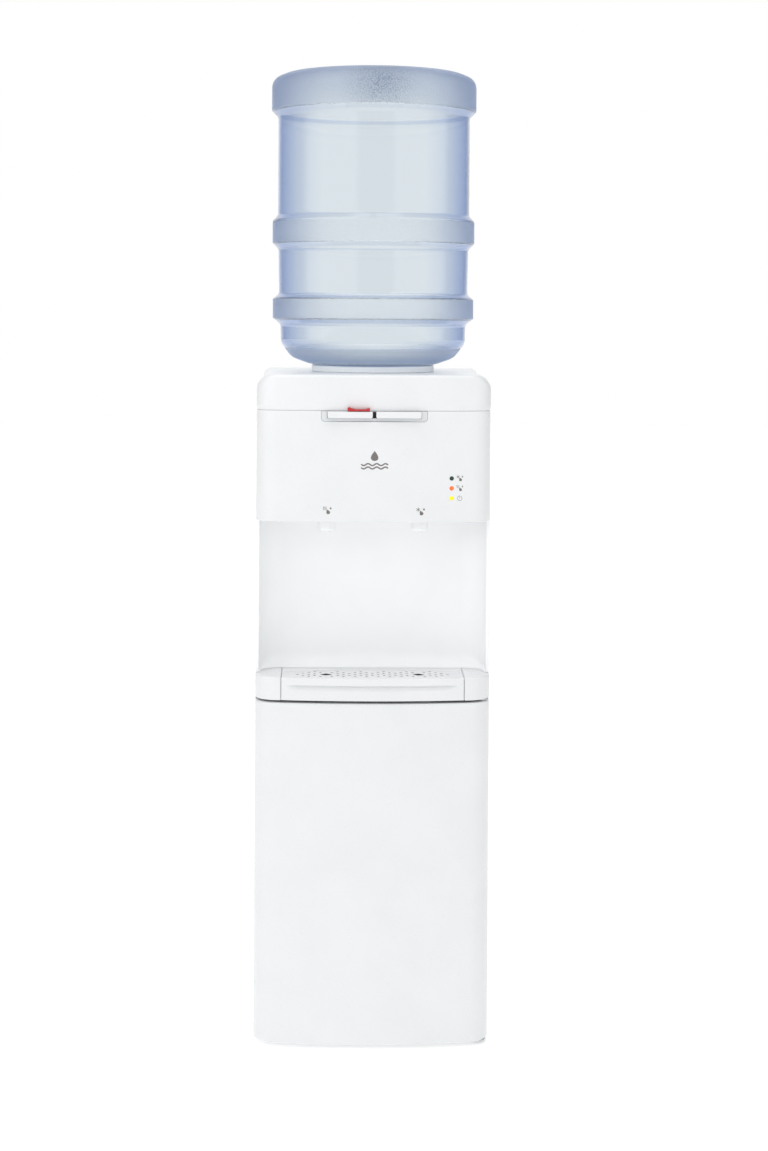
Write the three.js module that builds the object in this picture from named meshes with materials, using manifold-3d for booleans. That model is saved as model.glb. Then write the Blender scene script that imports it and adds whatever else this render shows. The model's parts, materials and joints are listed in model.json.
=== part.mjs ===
// Floor-standing top-load water dispenser with its inverted bottle: hot and cold water, storage
// cabinet below. Millimetres, +Z up, front towards -Y, origin on the floor under the middle.
import * as THREE from "three";
import { mergeVertices } from "three/addons/utils/BufferGeometryUtils.js";
import Module from "manifold-3d";

const wasm = await Module();
wasm.setup();

// ---- Driving dimensions ----
const BODY_WIDTH = 300;
const BODY_DEPTH = 300; // middle of the bowed front to the rear panel
const BOW_RADIUS = 840; // plan radius of the bowed front
const CORNER_RADIUS = 30; // plan radius of the two front corners
const BUTTON_PROUD = 6; // buttons stand out of the front
const CONDENSER_STAND = 25; // outermost condenser wire behind the rear panel

const PLASTIC = 2.5; // moulded wall
const SHEET = 1; // painted steel
const GAP = 0.3; // between pieces that rest on or meet each other
const SLIDE = 0.5; // between pieces that slide past each other

const FOOT_HEIGHT = 5.2;
const DOOR_BOTTOM = 5.5;
const BASE_HEIGHT = 13.5;
const BASE_PROUD = 0.8; // base moulding stands out of the side panels
const DOOR_TOP = 438.5;
const DOOR_GAP = 3; // dark line between door and tray housing
const SHELF_TOP = 471; // shoulders beside the drip tray
const FASCIA_BOTTOM = 668;
const CAP_BOTTOM = 809;
const BODY_TOP = 855;

const DOOR_WALL = 3;
const DOOR_PAST_CORNER = 3.0618; // door's rear edge behind the middle of its corners' arcs
const DOOR_TO_SIDES = 4; // side panels begin this far behind the door's rear edge
const ALCOVE_DEPTH = 95; // alcove wall behind the middle of the front
const ALCOVE_CORNER = 35;
const FLANGE_WIDTH = 12; // side panels' rear flange

const CAP_SIDE_ROUND = 20; // upper corners seen from the front
const FASCIA_INSET = 1; // fascia lies behind the cap's face

const BOTTLE_BEHIND_FRONT = 148; // bottle axis behind the middle of the front
const BOTTLE_WALL = 1.6;
const BOTTLE_FACETS = 24;
const NECK_RADIUS = 27.5;
const COLLAR_RADIUS = 81.5;
const COLLAR_HEIGHT = 8;
const SEAT_LIP = 76; // inner radius of the collar, on which the shoulder rests
const CAP_WALL = 2.2;
const CAP_HOLE = 11;
const PROBE_RADIUS = 8.5;

const TRAY_WIDTH = 232;
const TRAY_FRONT_THICK = 9;
const GRILLE_FRONT_CENTRE = 2.6;
const GRILLE_REAR_CENTRE = 68;
const GRILLE_REAR_END = 54;
const GRILLE_MARGIN = 2; // tray's side beside the grille
const GRILLE_THICK = 2;
const GRILLE_DROP = 1; // grille lies this far under the shoulders
const HOLE_COLUMNS = 27;
const HOLE_MARGIN = 17.8; // grille's end to its outermost column
const HOLE_PITCH_Y = 7.2;
const HOLE_RADIUS = 1.7;
const DIAMOND_X = 8.6;
const DIAMOND_Y = 7.4;

const TAP_SPACING = 118; // hot tap to cold tap
const TAP_BEHIND_FRONT = 35;
const NOZZLE_RADIUS = 11;
const NOZZLE_DROP = 13; // nozzle under the fascia's lower edge
const SPOUT_RADIUS = 3.6;
const SPOUT_DROP = 3;
const STEM_RADIUS = 3;
const STEM_FLANGE = 7;
const SPRING_RADIUS = 5.6;
const SPRING_WIRE = 0.6;
const SPRING_TURNS = 5;

const BUTTON_WIDTH = 57;
const BUTTON_SPLIT = 4.7; // between the two buttons
const BUTTON_BOTTOM = 800.3;
const BUTTON_TOP = 808.3;
const BUTTON_TRAVEL = 6;
const STEM_TRAVEL = 3; // a push of BUTTON_TRAVEL lowers a stem by this much
const BEZEL_WIDTH = 134;
const BEZEL_BOTTOM = 795.7;
const BEZEL_DEPTH = 9;
const LOCK_HEIGHT = 5.6;
const LOCK_LENGTH = 28;
const LOCK_TRAVEL = 8;
const KEEL_HALF = 4; // the lock's keel runs in a slot in the cap's face
const KEEL_THICK = 1.8;

const LED_RADIUS = 2.5;
const LED_IN = 51.5; // lamps inside the body's side
const LED_TOP_Z = 724;
const LED_PITCH = 12.6;

const COLD_TANK_RADIUS = 74;
const COLD_TANK_BOTTOM = 695;
const COLD_TANK_TOP = 812;
const COIL_TUBE = 3;
const COIL_CLEAR = 1.8; // more than a chord of the coil sinks towards the tank
const JACKET_OUTER = 93;
const JACKET_FLOOR = 14;
const TANK_WALL = 1.2;
const HOSE_RADIUS = 4;
const HOT_TANK_RADIUS = 48;
const HOT_TANK_BOTTOM = 486;
const HOT_TANK_TOP = 640;
const HOT_TANK_BEHIND_FRONT = 170;

const HINGE_IN = 9; // hinge axis inside the body's side
const HINGE_FROM_REAR = 12; // hinge axis in front of the door's rear edge
const HINGE_PIN = 3;
const HINGE_CLEAR = 0.3;
const HINGE_BOSS = 7;
const HINGE_PLATE = 1.6;
const HINGE_DEPTH_IN_DOOR = 15;

const CABINET_IN = 20; // cabinet's side wall inside the body's side
const CABINET_REAR = 170; // cabinet's rear wall behind the middle of the front
const CABINET_FLOOR = 34;
const CABINET_CEILING = 425;

const COMPRESSOR_RADIUS = 56;
const PIPE_RADIUS = 3.4; // suction pipe
const PIPE_IN = 28; // suction pipe inside the body's side
const COMPRESSOR_TOP = 172;
const CONDENSER_TUBE = 2.4;
const CONDENSER_WIRE = 0.8;
const CONDENSER_HALF = 112;
const CONDENSER_BOTTOM = 262;
const CONDENSER_RUNS = 7;
const CONDENSER_PITCH = 66;
const CONDENSER_WIRES = 7;

const SWITCH_PLATE_Z = 752;
const SWITCH_SPACING = 30;
const DRAIN_Z = 60;
const DRAIN_X = -95;
const INLET_X = 100;
const INLET_Z = 62;

// ---- Places worked out from them ----
const FRONT = -(BODY_DEPTH + CONDENSER_STAND + BUTTON_PROUD) / 2 + BUTTON_PROUD;
const REAR = FRONT + BODY_DEPTH;
const HALF = BODY_WIDTH / 2;
const BOTTLE_Y = FRONT + BOTTLE_BEHIND_FRONT;
const TAP_X = TAP_SPACING / 2;
const TAP_Y = FRONT + TAP_BEHIND_FRONT;
const PANEL_TOP = CAP_BOTTOM - GAP;
const BASE_TOP = DOOR_BOTTOM + BASE_HEIGHT;
const LED_X = HALF - LED_IN;
const HINGE_X = HALF - HINGE_IN;
const CABINET_HALF = HALF - CABINET_IN;
const CORNER_DEPTH = BOW_RADIUS
  - Math.sqrt((BOW_RADIUS - CORNER_RADIUS) ** 2 - (HALF - CORNER_RADIUS) ** 2);
const DOOR_DEPTH = CORNER_DEPTH + DOOR_PAST_CORNER; // behind the middle of the front
const BODY_START = DOOR_DEPTH + DOOR_TO_SIDES;
const HINGE_Y = FRONT + DOOR_DEPTH - HINGE_FROM_REAR;
const SEAT_TOP = BODY_TOP + COLLAR_HEIGHT;
const HOT_TANK_Y = FRONT + HOT_TANK_BEHIND_FRONT;

const COLOURS = {
  white: [0xf3f4f5, 0.32, 0],
  offWhite: [0xe9ebec, 0.4, 0],
  lightGrey: [0xd3d6d9, 0.45, 0],
  dark: [0x26282b, 0.6, 0],
  bottle: [0x9fc4e2, 0.12, 0],
  red: [0xc02426, 0.35, 0],
  green: [0x1f4a36, 0.3, 0],
  orange: [0xf0562a, 0.3, 0],
  yellow: [0xf2cf2e, 0.3, 0],
  steel: [0xc3c6c8, 0.3, 1],
  copper: [0xb87346, 0.35, 1],
  black: [0x17181a, 0.55, 0.2],
  foam: [0xf4f3ec, 0.9, 0],
  silicone: [0xe2e4e2, 0.5, 0],
  board: [0x2c6b3a, 0.5, 0],
};

// ---- Small helpers ----

// A closed mesh as a solid, turned to face outwards.
function solid(geometry) {
  const plain = new THREE.BufferGeometry();
  plain.setAttribute("position", geometry.getAttribute("position"));
  if (geometry.index) plain.setIndex(geometry.index);
  const merged = mergeVertices(plain, 1e-3);
  const triVerts = new Uint32Array(merged.index.array);
  const mesh = () =>
    new wasm.Manifold(
      new wasm.Mesh({ numProp: 3, vertProperties: merged.attributes.position.array, triVerts }),
    );
  const made = mesh();
  if (made.volume() >= 0) return made;
  for (let i = 0; i < triVerts.length; i += 3)
    [triVerts[i + 1], triVerts[i + 2]] = [triVerts[i + 2], triVerts[i + 1]];
  return mesh();
}

const join = (...solids) => solids.reduce((a, b) => a.add(b));
const cut = (base, ...tools) => tools.reduce((a, b) => a.subtract(b), base);

function box(x0, x1, y0, y1, z0, z1) {
  const g = new THREE.BoxGeometry(x1 - x0, y1 - y0, z1 - z0);
  return solid(g.translate((x0 + x1) / 2, (y0 + y1) / 2, (z0 + z1) / 2));
}

// An outline in plan, raised from z0 to z1.
function raise(shape, z0, z1, curveSegments = 8) {
  const g = new THREE.ExtrudeGeometry(shape, { depth: z1 - z0, bevelEnabled: false, curveSegments });
  return solid(g.translate(0, 0, z0));
}

// An outline drawn in X and Z, carried from y0 to y1.
function carry(shape, y0, y1, curveSegments = 6) {
  const g = new THREE.ExtrudeGeometry(shape, { depth: y1 - y0, bevelEnabled: false, curveSegments });
  return solid(g.rotateX(Math.PI / 2).translate(0, y1, 0));
}

// A radius and height profile turned round an upright axis at x, y.
function turn(profile, x, y, segments = 24) {
  const points = profile.map(([r, z]) => new THREE.Vector2(r, z));
  return solid(new THREE.LatheGeometry(points, segments).rotateX(Math.PI / 2).translate(x, y, 0));
}

function rod(radius, x, y, z0, z1, segments = 12) {
  return turn([[0, z0], [radius, z0], [radius, z1], [0, z1]], x, y, segments);
}

// A rod that lies along Y.
function rodAlongY(radius, x, z, y0, y1, segments = 12) {
  const points = [[0, 0], [radius, 0], [radius, y1 - y0], [0, y1 - y0]];
  const profile = points.map(([r, t]) => new THREE.Vector2(r, t));
  return solid(new THREE.LatheGeometry(profile, segments).translate(x, y0, z));
}

// A ring from r0 to r1 between z0 and z1.
function ring(r0, r1, x, y, z0, z1, segments = 24) {
  return turn([[r0, z0], [r1, z0], [r1, z1], [r0, z1], [r0, z0]], x, y, segments);
}

// A round tube along a smooth curve through the points.
function tube(points, radius, steps, sides = 6, tension = 0.5) {
  const path = new THREE.CatmullRomCurve3(
    points.map((p) => new THREE.Vector3(...p)), false, "catmullrom", tension);
  return tubeAlong(path, radius, steps, sides);
}

function tubeAlong(path, radius, steps, sides) {
  const section = new THREE.Shape();
  for (let i = 0; i < sides; i++) {
    const a = (2 * Math.PI * i) / sides;
    if (i) section.lineTo(radius * Math.cos(a), radius * Math.sin(a));
    else section.moveTo(radius, 0);
  }
  section.closePath();
  return solid(new THREE.ExtrudeGeometry(section, { steps, extrudePath: path, bevelEnabled: false }));
}

// Helix round an upright axis, for the evaporator and the springs.
class Helix extends THREE.Curve {
  constructor(radius, x, y, z0, z1, turns) {
    super();
    Object.assign(this, { radius, x, y, z0, z1, turns });
  }
  getPoint(t, target = new THREE.Vector3()) {
    const a = 2 * Math.PI * this.turns * t;
    return target.set(
      this.x + this.radius * Math.cos(a),
      this.y + this.radius * Math.sin(a),
      this.z0 + (this.z1 - this.z0) * t,
    );
  }
}

// Middle of a front corner's circle, behind the front: it touches the bow and the side.
function cornerCentre(inset) {
  const bow = BOW_RADIUS - inset;
  const r = CORNER_RADIUS - inset;
  const x = HALF - CORNER_RADIUS;
  return { x, y: FRONT + BOW_RADIUS - Math.sqrt((bow - r) ** 2 - x ** 2), r };
}

// Y of the bowed front at x.
function bowY(x, inset = 0) {
  return FRONT + BOW_RADIUS - Math.sqrt((BOW_RADIUS - inset) ** 2 - x ** 2);
}

// Plan of the body as far back as rear: bowed front, rounded front corners, straight sides.
function planShape(inset, rear) {
  const c = cornerCentre(inset);
  const bowMiddle = FRONT + BOW_RADIUS;
  const lean = Math.atan2(c.x, bowMiddle - c.y); // from the middle to where bow meets corner
  const down = -Math.PI / 2;
  const s = new THREE.Shape();
  s.moveTo(-(HALF - inset), rear);
  s.lineTo(-(HALF - inset), c.y);
  s.absarc(-c.x, c.y, c.r, Math.PI, 3 * Math.PI / 2 - lean, false);
  s.absarc(0, bowMiddle, BOW_RADIUS - inset, down - lean, down + lean, false);
  s.absarc(c.x, c.y, c.r, down + lean, 0, false);
  s.lineTo(HALF - inset, rear);
  s.closePath();
  return s;
}

// Rectangle in X and Z with its own radii at the upper and lower corners.
function roundedFace(x0, x1, z0, z1, upper, lower) {
  const s = new THREE.Shape();
  s.moveTo(x0 + lower, z0);
  s.lineTo(x1 - lower, z0);
  if (lower) s.absarc(x1 - lower, z0 + lower, lower, -Math.PI / 2, 0, false);
  s.lineTo(x1, z1 - upper);
  if (upper) s.absarc(x1 - upper, z1 - upper, upper, 0, Math.PI / 2, false);
  s.lineTo(x0 + upper, z1);
  if (upper) s.absarc(x0 + upper, z1 - upper, upper, Math.PI / 2, Math.PI, false);
  s.lineTo(x0, z0 + lower);
  if (lower) s.absarc(x0 + lower, z0 + lower, lower, Math.PI, 3 * Math.PI / 2, false);
  s.closePath();
  return s;
}

const dispenser = new THREE.Group();

function add(name, made, colour) {
  const mesh = made.getMesh();
  const g = new THREE.BufferGeometry();
  g.setAttribute("position", new THREE.BufferAttribute(new Float32Array(mesh.vertProperties), 3));
  g.setIndex(new THREE.BufferAttribute(new Uint32Array(mesh.triVerts), 1));
  g.computeVertexNormals();
  const [color, roughness, metalness] = COLOURS[colour];
  const material = new THREE.MeshStandardMaterial({ color, roughness, metalness });
  const part = new THREE.Mesh(g, material);
  part.name = name;
  dispenser.add(part);
}

// ---- Base, feet and outer panels ----

function makeBase() {
  const start = FRONT + BODY_START;
  const half = HALF + BASE_PROUD;
  const rear = REAR + BASE_PROUD;
  const skirt = cut(
    box(-half, half, start, rear, DOOR_BOTTOM, BASE_TOP),
    box(-half + PLASTIC, half - PLASTIC, start + PLASTIC, rear - PLASTIC,
      DOOR_BOTTOM + PLASTIC, BASE_TOP + 1),
  );
  add("base_tray", skirt, "offWhite");
  const footX = HALF - 24;
  const places = { front: start + 34, rear: REAR - 22 };
  for (const [end, y] of Object.entries(places))
    for (const [side, sign] of [["left", -1], ["right", 1]])
      add(`foot_${end}_${side}`,
        turn([[0, 0], [14, 0], [16, FOOT_HEIGHT], [0, FOOT_HEIGHT]], sign * footX, y, 16), "dark");
}

const PANEL_BOTTOM = BASE_TOP + GAP;

function makePanels() {
  const start = FRONT + BODY_START;
  for (const [name, sign] of [["left_side_panel", -1], ["right_side_panel", 1]]) {
    const outer = sign * HALF;
    const inner = sign * (HALF - SHEET);
    const flange = sign * (HALF - FLANGE_WIDTH);
    const [x0, x1] = [Math.min(outer, inner), Math.max(outer, inner)];
    const [f0, f1] = [Math.min(outer, flange), Math.max(outer, flange)];
    add(name, join(
      box(x0, x1, start, REAR, PANEL_BOTTOM, PANEL_TOP),
      box(f0, f1, REAR - SHEET, REAR, PANEL_BOTTOM, PANEL_TOP),
    ), "white");
  }
  // Rear panel lies inside the side panels' flanges, with vents and the holes of what passes it.
  const y1 = REAR - SHEET - GAP;
  const y0 = y1 - SHEET;
  const half = HALF - SHEET - GAP;
  const holes = [
    rodAlongY(DRAIN_BORE + GAP, DRAIN_X, DRAIN_Z, y0 - 2, y1 + 2),
    rodAlongY(INLET_BODY + GAP, INLET_X, INLET_Z, y0 - 2, y1 + 2),
    box(-SWITCH_HOLE, SWITCH_HOLE, y0 - 2, y1 + 2, SWITCH_PLATE_Z - 15, SWITCH_PLATE_Z + 15),
    ...[-1, 1].map((s) => rodAlongY(PIPE_HOLE, s * PIPE_X, pipeZ(s), y0 - 2, y1 + 2, 8)),
  ];
  for (let row = 0; row < 7; row++)
    holes.push(box(-70, 70, y0 - 2, y1 + 2, 96 + row * 14, 100 + row * 14));
  // Four brackets stand out between the condenser's runs and hold its outer wires.
  const brackets = [-WIRE_SPREAD, WIRE_SPREAD].flatMap((x) =>
    [CONDENSER_BOTTOM + CONDENSER_PITCH / 2, CONDENSER_TOP - CONDENSER_PITCH / 2].map((z) =>
      box(x - 4, x + 4, y0 + 0.1, WIRE_Y - CONDENSER_WIRE - GAP, z - 6, z + 6)));
  const sheet = cut(box(-half, half, y0, y1, PANEL_BOTTOM, PANEL_TOP), ...holes);
  add("rear_panel", join(sheet, ...brackets), "lightGrey");
  for (const [side, sign] of [["left", -1], ["right", 1]])
    add(`rear_screw_${side}`,
      turn([[0, 0], [2.6, 0], [4, 1.2], [4, 2.2], [0, 2.2]], 0, 0, 10)
        .rotate([-90, 0, 0]).translate([sign * (HALF - 6), REAR + GAP, BODY_TOP / 2]), "steel");
}

// ---- Top cap, seat, probe and bottle ----

function capBlock(inset, rear, z0, top) {
  const side = CAP_SIDE_ROUND - inset;
  return raise(planShape(inset, rear), z0, top, 6).intersect(
    carry(roundedFace(-HALF + inset, HALF - inset, z0 - 30, top, side, 0), FRONT - 5, rear + 5, 6));
}

function makeCap() {
  const rear = REAR + BASE_PROUD;
  const slot = box(KEEL_X - KEEL_HALF - LOCK_TRAVEL - SLIDE, KEEL_X + KEEL_HALF + SLIDE, FRONT - 5,
    FRONT + PLASTIC + 5, KEEL_Z - GAP, KEEL_Z + KEEL_THICK + GAP);
  const shell = cut(
    capBlock(0, rear, CAP_BOTTOM, BODY_TOP),
    capBlock(PLASTIC, rear - PLASTIC, CAP_BOTTOM - 1, BODY_TOP - PLASTIC),
    rod(COLLAR_RADIUS - 6, 0, BOTTLE_Y, BODY_TOP - 10, BODY_TOP + 1, 24),
    slot,
  );
  add("top_cap", shell, "white");
}

// Shoulder of the bottle, from the neck outwards: the seat's funnel follows it.
const SHOULDER = [[29, 818], [36, 832], [50, 846], [SEAT_LIP, 861.5]];
const NECK_END = 764;
const FUNNEL_CLEAR = 4;

function makeSeatAndProbe() {
  const funnel = SHOULDER.map(([r, z]) => [r + FUNNEL_CLEAR, z - FUNNEL_CLEAR - 2]);
  const tubeRadius = NECK_RADIUS + CAP_WALL + FUNNEL_CLEAR;
  const floor = NECK_END - 12;
  const inner = [[PROBE_RADIUS + 2, floor + 3], [tubeRadius, floor + 3], ...funnel];
  const rim = [[SEAT_LIP + 1, SEAT_TOP - 1.5], [SEAT_LIP + 2.5, SEAT_TOP], [COLLAR_RADIUS - 1, SEAT_TOP],
    [COLLAR_RADIUS, SEAT_TOP - 1.5], [COLLAR_RADIUS, BODY_TOP + GAP]];
  const under = [[COLLAR_RADIUS - 7, BODY_TOP + GAP], [COLLAR_RADIUS - 7, BODY_TOP - 6],
    ...funnel.slice().reverse().map(([r, z]) => [r + 1, z - PLASTIC - 1]),
    [tubeRadius + PLASTIC, funnel[0][1] - 8], [tubeRadius + PLASTIC, floor], [PROBE_RADIUS + 2, floor]];
  const profile = [...inner, ...rim, ...under];
  add("bottle_seat", turn([...profile, profile[0]], 0, BOTTLE_Y, BOTTLE_FACETS), "white");
  const tip = NECK_END + 30;
  const bore = 4.5;
  add("probe", turn([[bore, floor - 14], [PROBE_RADIUS, floor - 14], [PROBE_RADIUS, floor - GAP],
    [PROBE_RADIUS + 1.6, floor - GAP], [PROBE_RADIUS + 1.6, floor + 1], [PROBE_RADIUS, floor + 4],
    [PROBE_RADIUS, tip - 10], [bore, tip], [bore, floor - 14]], 0, BOTTLE_Y, 16), "offWhite");
}

// Outside of the bottle from its flat top down to the open neck: [radius, height].
const BOTTLE_TOP = 1254;
const BOTTLE_OUTSIDE = [
  [0, BOTTLE_TOP], [112, BOTTLE_TOP], [123, 1248], [131, 1239], [136, 1227], [136, 1207],
  [127.5, 1198], [127.5, 1061], [134.3, 1051], [134.3, 1027], [126, 1019], [125.5, 959],
  [133.5, 949], [133.5, 927], [123, 915], [122.7, 896], [118, 886], [107, 875], [90, 867],
];

function makeBottle() {
  const lower = [[SEAT_LIP - 1, 862.2], ...SHOULDER.slice(0, -1).reverse(), [NECK_RADIUS, 808],
    [NECK_RADIUS, NECK_END]];
  const outside = [...BOTTLE_OUTSIDE, ...lower];
  const inside = outside.slice(1).map(([r, z]) => [r - BOTTLE_WALL, z]);
  inside[0] = [112 - BOTTLE_WALL, BOTTLE_TOP - BOTTLE_WALL];
  const profile = [...outside, ...inside.reverse(), [0, BOTTLE_TOP - BOTTLE_WALL]];
  add("bottle", turn(profile, 0, BOTTLE_Y, BOTTLE_FACETS), "bottle");
  const r = NECK_RADIUS + GAP;
  const base = NECK_END - GAP;
  add("bottle_cap", turn([[CAP_HOLE, base - CAP_WALL], [r + CAP_WALL, base - CAP_WALL],
    [r + CAP_WALL, base + 34], [r, base + 34], [r, base], [CAP_HOLE, base],
    [CAP_HOLE, base - CAP_WALL]], 0, BOTTLE_Y, BOTTLE_FACETS), "offWhite");
}

// ---- Front fascia, bezel, buttons and lock ----

const BUTTON_Y0 = FRONT - BUTTON_PROUD;
const BUTTON_CENTRES = { hot: -(BUTTON_WIDTH + BUTTON_SPLIT) / 2, cold: (BUTTON_WIDTH + BUTTON_SPLIT) / 2 };
const TAIL_Y0 = FRONT + 14;
const TAIL_Y1 = TAP_Y + 12;
const RAMP_SLOPE = STEM_TRAVEL / BUTTON_TRAVEL;
const STEM_TOP = BUTTON_BOTTOM - 9; // height of the sloped stem head on the stem's axis
const PIN_HALF = STEM_FLANGE - 2;

function makeFascia() {
  const rear = FRONT + BODY_START - GAP;
  const wall = cut(
    raise(planShape(FASCIA_INSET, rear), FASCIA_BOTTOM, PANEL_TOP, 10),
    raise(planShape(FASCIA_INSET + PLASTIC, rear + 5), FASCIA_BOTTOM + PLASTIC, PANEL_TOP + 1, 10),
  );
  // Ceiling of the alcove runs back over the taps to the alcove wall.
  const ceiling = box(-HALF + SHEET + GAP + 1, HALF - SHEET - GAP - 1, rear - 1,
    FRONT + ALCOVE_DEPTH - GAP, FASCIA_BOTTOM, FASCIA_BOTTOM + PLASTIC);
  const holes = [-TAP_X, TAP_X].map((x) =>
    rod(NOZZLE_RADIUS + GAP, x, TAP_Y, FASCIA_BOTTOM - 5, FASCIA_BOTTOM + 10, 16));
  const leds = [0, 1, 2].map((i) =>
    rodAlongY(LED_RADIUS + GAP, LED_X, LED_TOP_Z - i * LED_PITCH, FRONT - 5, FRONT + 30));
  const bezelHole = box(-BEZEL_WIDTH / 2 - GAP, BEZEL_WIDTH / 2 + GAP, FRONT - 5,
    FRONT + BEZEL_DEPTH + 12, BEZEL_BOTTOM - GAP, PANEL_TOP + 1);
  add("front_fascia", cut(join(wall, ceiling), ...holes, ...leds, bezelHole), "white");
}

function makeBezel() {
  const half = BEZEL_WIDTH / 2;
  const face = roundedFace(-half, half, BEZEL_BOTTOM, PANEL_TOP, 0, 4.5);
  const outer = raise(planShape(FASCIA_INSET - 0.5, FRONT + BODY_START), BEZEL_BOTTOM, PANEL_TOP, 10)
    .intersect(carry(face, FRONT - 5, FRONT + BEZEL_DEPTH, 4));
  const openHalf = BUTTON_WIDTH + BUTTON_SPLIT / 2 + SLIDE;
  add("button_bezel", cut(outer, box(-openHalf, openHalf, FRONT - 9, FRONT + 20,
    BUTTON_BOTTOM - SLIDE, PANEL_TOP + 2)), "lightGrey");
}

// Ramp wedge on a button's arm: its lower face falls towards the front, over the stem's head.
function ramp(x, clearance, front, back, top) {
  const s = new THREE.Shape();
  const at = (y) => STEM_TOP + clearance + RAMP_SLOPE * (y - TAP_Y);
  s.moveTo(front, top);
  s.lineTo(front, at(front));
  s.lineTo(back, at(back));
  s.lineTo(back, top);
  s.closePath();
  const g = new THREE.ExtrudeGeometry(s, { depth: 2 * PIN_HALF, bevelEnabled: false });
  g.rotateX(Math.PI / 2).rotateZ(Math.PI / 2).translate(x - PIN_HALF, 0, 0);
  return solid(g);
}

function makeButtons() {
  for (const [name, centre] of Object.entries(BUTTON_CENTRES)) {
    const x0 = centre - BUTTON_WIDTH / 2;
    const x1 = centre + BUTTON_WIDTH / 2;
    const stemX = Math.sign(centre) * TAP_X;
    const armInner = Math.sign(centre) * 24;
    const armOuter = stemX + Math.sign(centre) * PIN_HALF;
    const face = carry(roundedFace(x0, x1, BUTTON_BOTTOM, BUTTON_TOP, 0, 2), BUTTON_Y0, TAIL_Y0, 3);
    const slab = (a, b, y0, y1) =>
      box(Math.min(a, b), Math.max(a, b), y0, y1, BUTTON_BOTTOM + 2, BUTTON_TOP);
    const arm = slab(armInner, armOuter, TAIL_Y0 - 1, TAIL_Y1);
    const wedge = ramp(stemX, GAP, TAP_Y - PIN_HALF - BUTTON_TRAVEL - 1, TAIL_Y1, BUTTON_TOP - 1);
    add(`${name}_button`, join(face, arm, wedge), "white");
  }
}

const LOCK_X = -34; // left end of the child lock
const KEEL_X = LOCK_X + LOCK_LENGTH / 2;
const KEEL_Z = CAP_BOTTOM + 1.2;

function makeLock() {
  const z0 = BUTTON_TOP + GAP;
  const z1 = z0 + LOCK_HEIGHT;
  const x1 = LOCK_X + LOCK_LENGTH;
  const waist = new THREE.Shape();
  waist.moveTo(LOCK_X, z0);
  waist.lineTo(x1, z0);
  waist.lineTo(x1, z1 - 0.8);
  waist.quadraticCurveTo(x1 - 6, z1 - 2.4, x1 - 12, z1 - 2.2);
  waist.quadraticCurveTo(LOCK_X + 7, z1 - 2.2, LOCK_X + 3, z1);
  waist.lineTo(LOCK_X, z1);
  waist.closePath();
  add("child_lock", join(
    carry(waist, BUTTON_Y0 + 0.6, BUTTON_Y0 + 5, 5),
    box(KEEL_X - KEEL_HALF, KEEL_X + KEEL_HALF, BUTTON_Y0 + 4, FRONT + PLASTIC + 2, KEEL_Z,
      KEEL_Z + KEEL_THICK),
  ), "red");
}

// ---- Taps ----

const TAP_BODY_TOP = FASCIA_BOTTOM + 26;
const TAP_INLET_Z = FASCIA_BOTTOM + 8.5;
const TAP_INLET_REACH = 24;
const SPRING_TOP = STEM_TOP - 14;

function makeTaps() {
  const nozzleEnd = FASCIA_BOTTOM - NOZZLE_DROP;
  const bore = 2;
  for (const [name, x] of [["hot", -TAP_X], ["cold", TAP_X]]) {
    const body = turn([[bore, nozzleEnd - SPOUT_DROP], [SPOUT_RADIUS, nozzleEnd - SPOUT_DROP],
      [SPOUT_RADIUS, nozzleEnd], [NOZZLE_RADIUS - 1, nozzleEnd], [NOZZLE_RADIUS, nozzleEnd + 1],
      [NOZZLE_RADIUS, FASCIA_BOTTOM + PLASTIC + GAP], [NOZZLE_RADIUS + 4, FASCIA_BOTTOM + PLASTIC + GAP],
      [NOZZLE_RADIUS + 4, FASCIA_BOTTOM + 7], [NOZZLE_RADIUS, FASCIA_BOTTOM + 9],
      [NOZZLE_RADIUS, TAP_BODY_TOP], [STEM_RADIUS + SLIDE, TAP_BODY_TOP],
      [STEM_RADIUS + SLIDE, TAP_BODY_TOP - 12], [bore, TAP_BODY_TOP - 16],
      [bore, nozzleEnd - SPOUT_DROP]], x, TAP_Y, 16);
    const inlet = rodAlongY(HOSE_RADIUS + 1, x, TAP_INLET_Z, TAP_Y + NOZZLE_RADIUS - 3,
      TAP_Y + TAP_INLET_REACH, 10);
    add(`${name}_tap`, join(body, inlet), "silicone");
    const head = rod(STEM_FLANGE - 1, x, TAP_Y, SPRING_TOP + 1, STEM_TOP + 8, 16).subtract(aboveSlope(x));
    add(`${name}_stem`, join(
      rod(STEM_RADIUS, x, TAP_Y, TAP_BODY_TOP - 6, SPRING_TOP + 4, 10),
      rod(STEM_FLANGE, x, TAP_Y, SPRING_TOP, SPRING_TOP + 2, 16), head), "offWhite");
    const coil = new Helix(SPRING_RADIUS, x, TAP_Y, TAP_BODY_TOP + SPRING_WIRE + GAP + 0.4,
      SPRING_TOP - SPRING_WIRE - GAP - 0.4, SPRING_TURNS);
    add(`${name}_spring`, tubeAlong(coil, SPRING_WIRE, SPRING_TURNS * 12, 4), "steel");
  }
}

// Everything above the stem head's sloped face, wide enough to trim the whole head.
function aboveSlope(x) {
  const s = new THREE.Shape();
  const reach = 30;
  s.moveTo(TAP_Y - reach, STEM_TOP - RAMP_SLOPE * reach);
  s.lineTo(TAP_Y + reach, STEM_TOP + RAMP_SLOPE * reach);
  s.lineTo(TAP_Y + reach, STEM_TOP + 60);
  s.lineTo(TAP_Y - reach, STEM_TOP + 60);
  s.closePath();
  const g = new THREE.ExtrudeGeometry(s, { depth: 2 * reach, bevelEnabled: false });
  return solid(g.rotateX(Math.PI / 2).rotateZ(Math.PI / 2).translate(x - reach, 0, 0));
}

// ---- Indicator lamps ----

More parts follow.
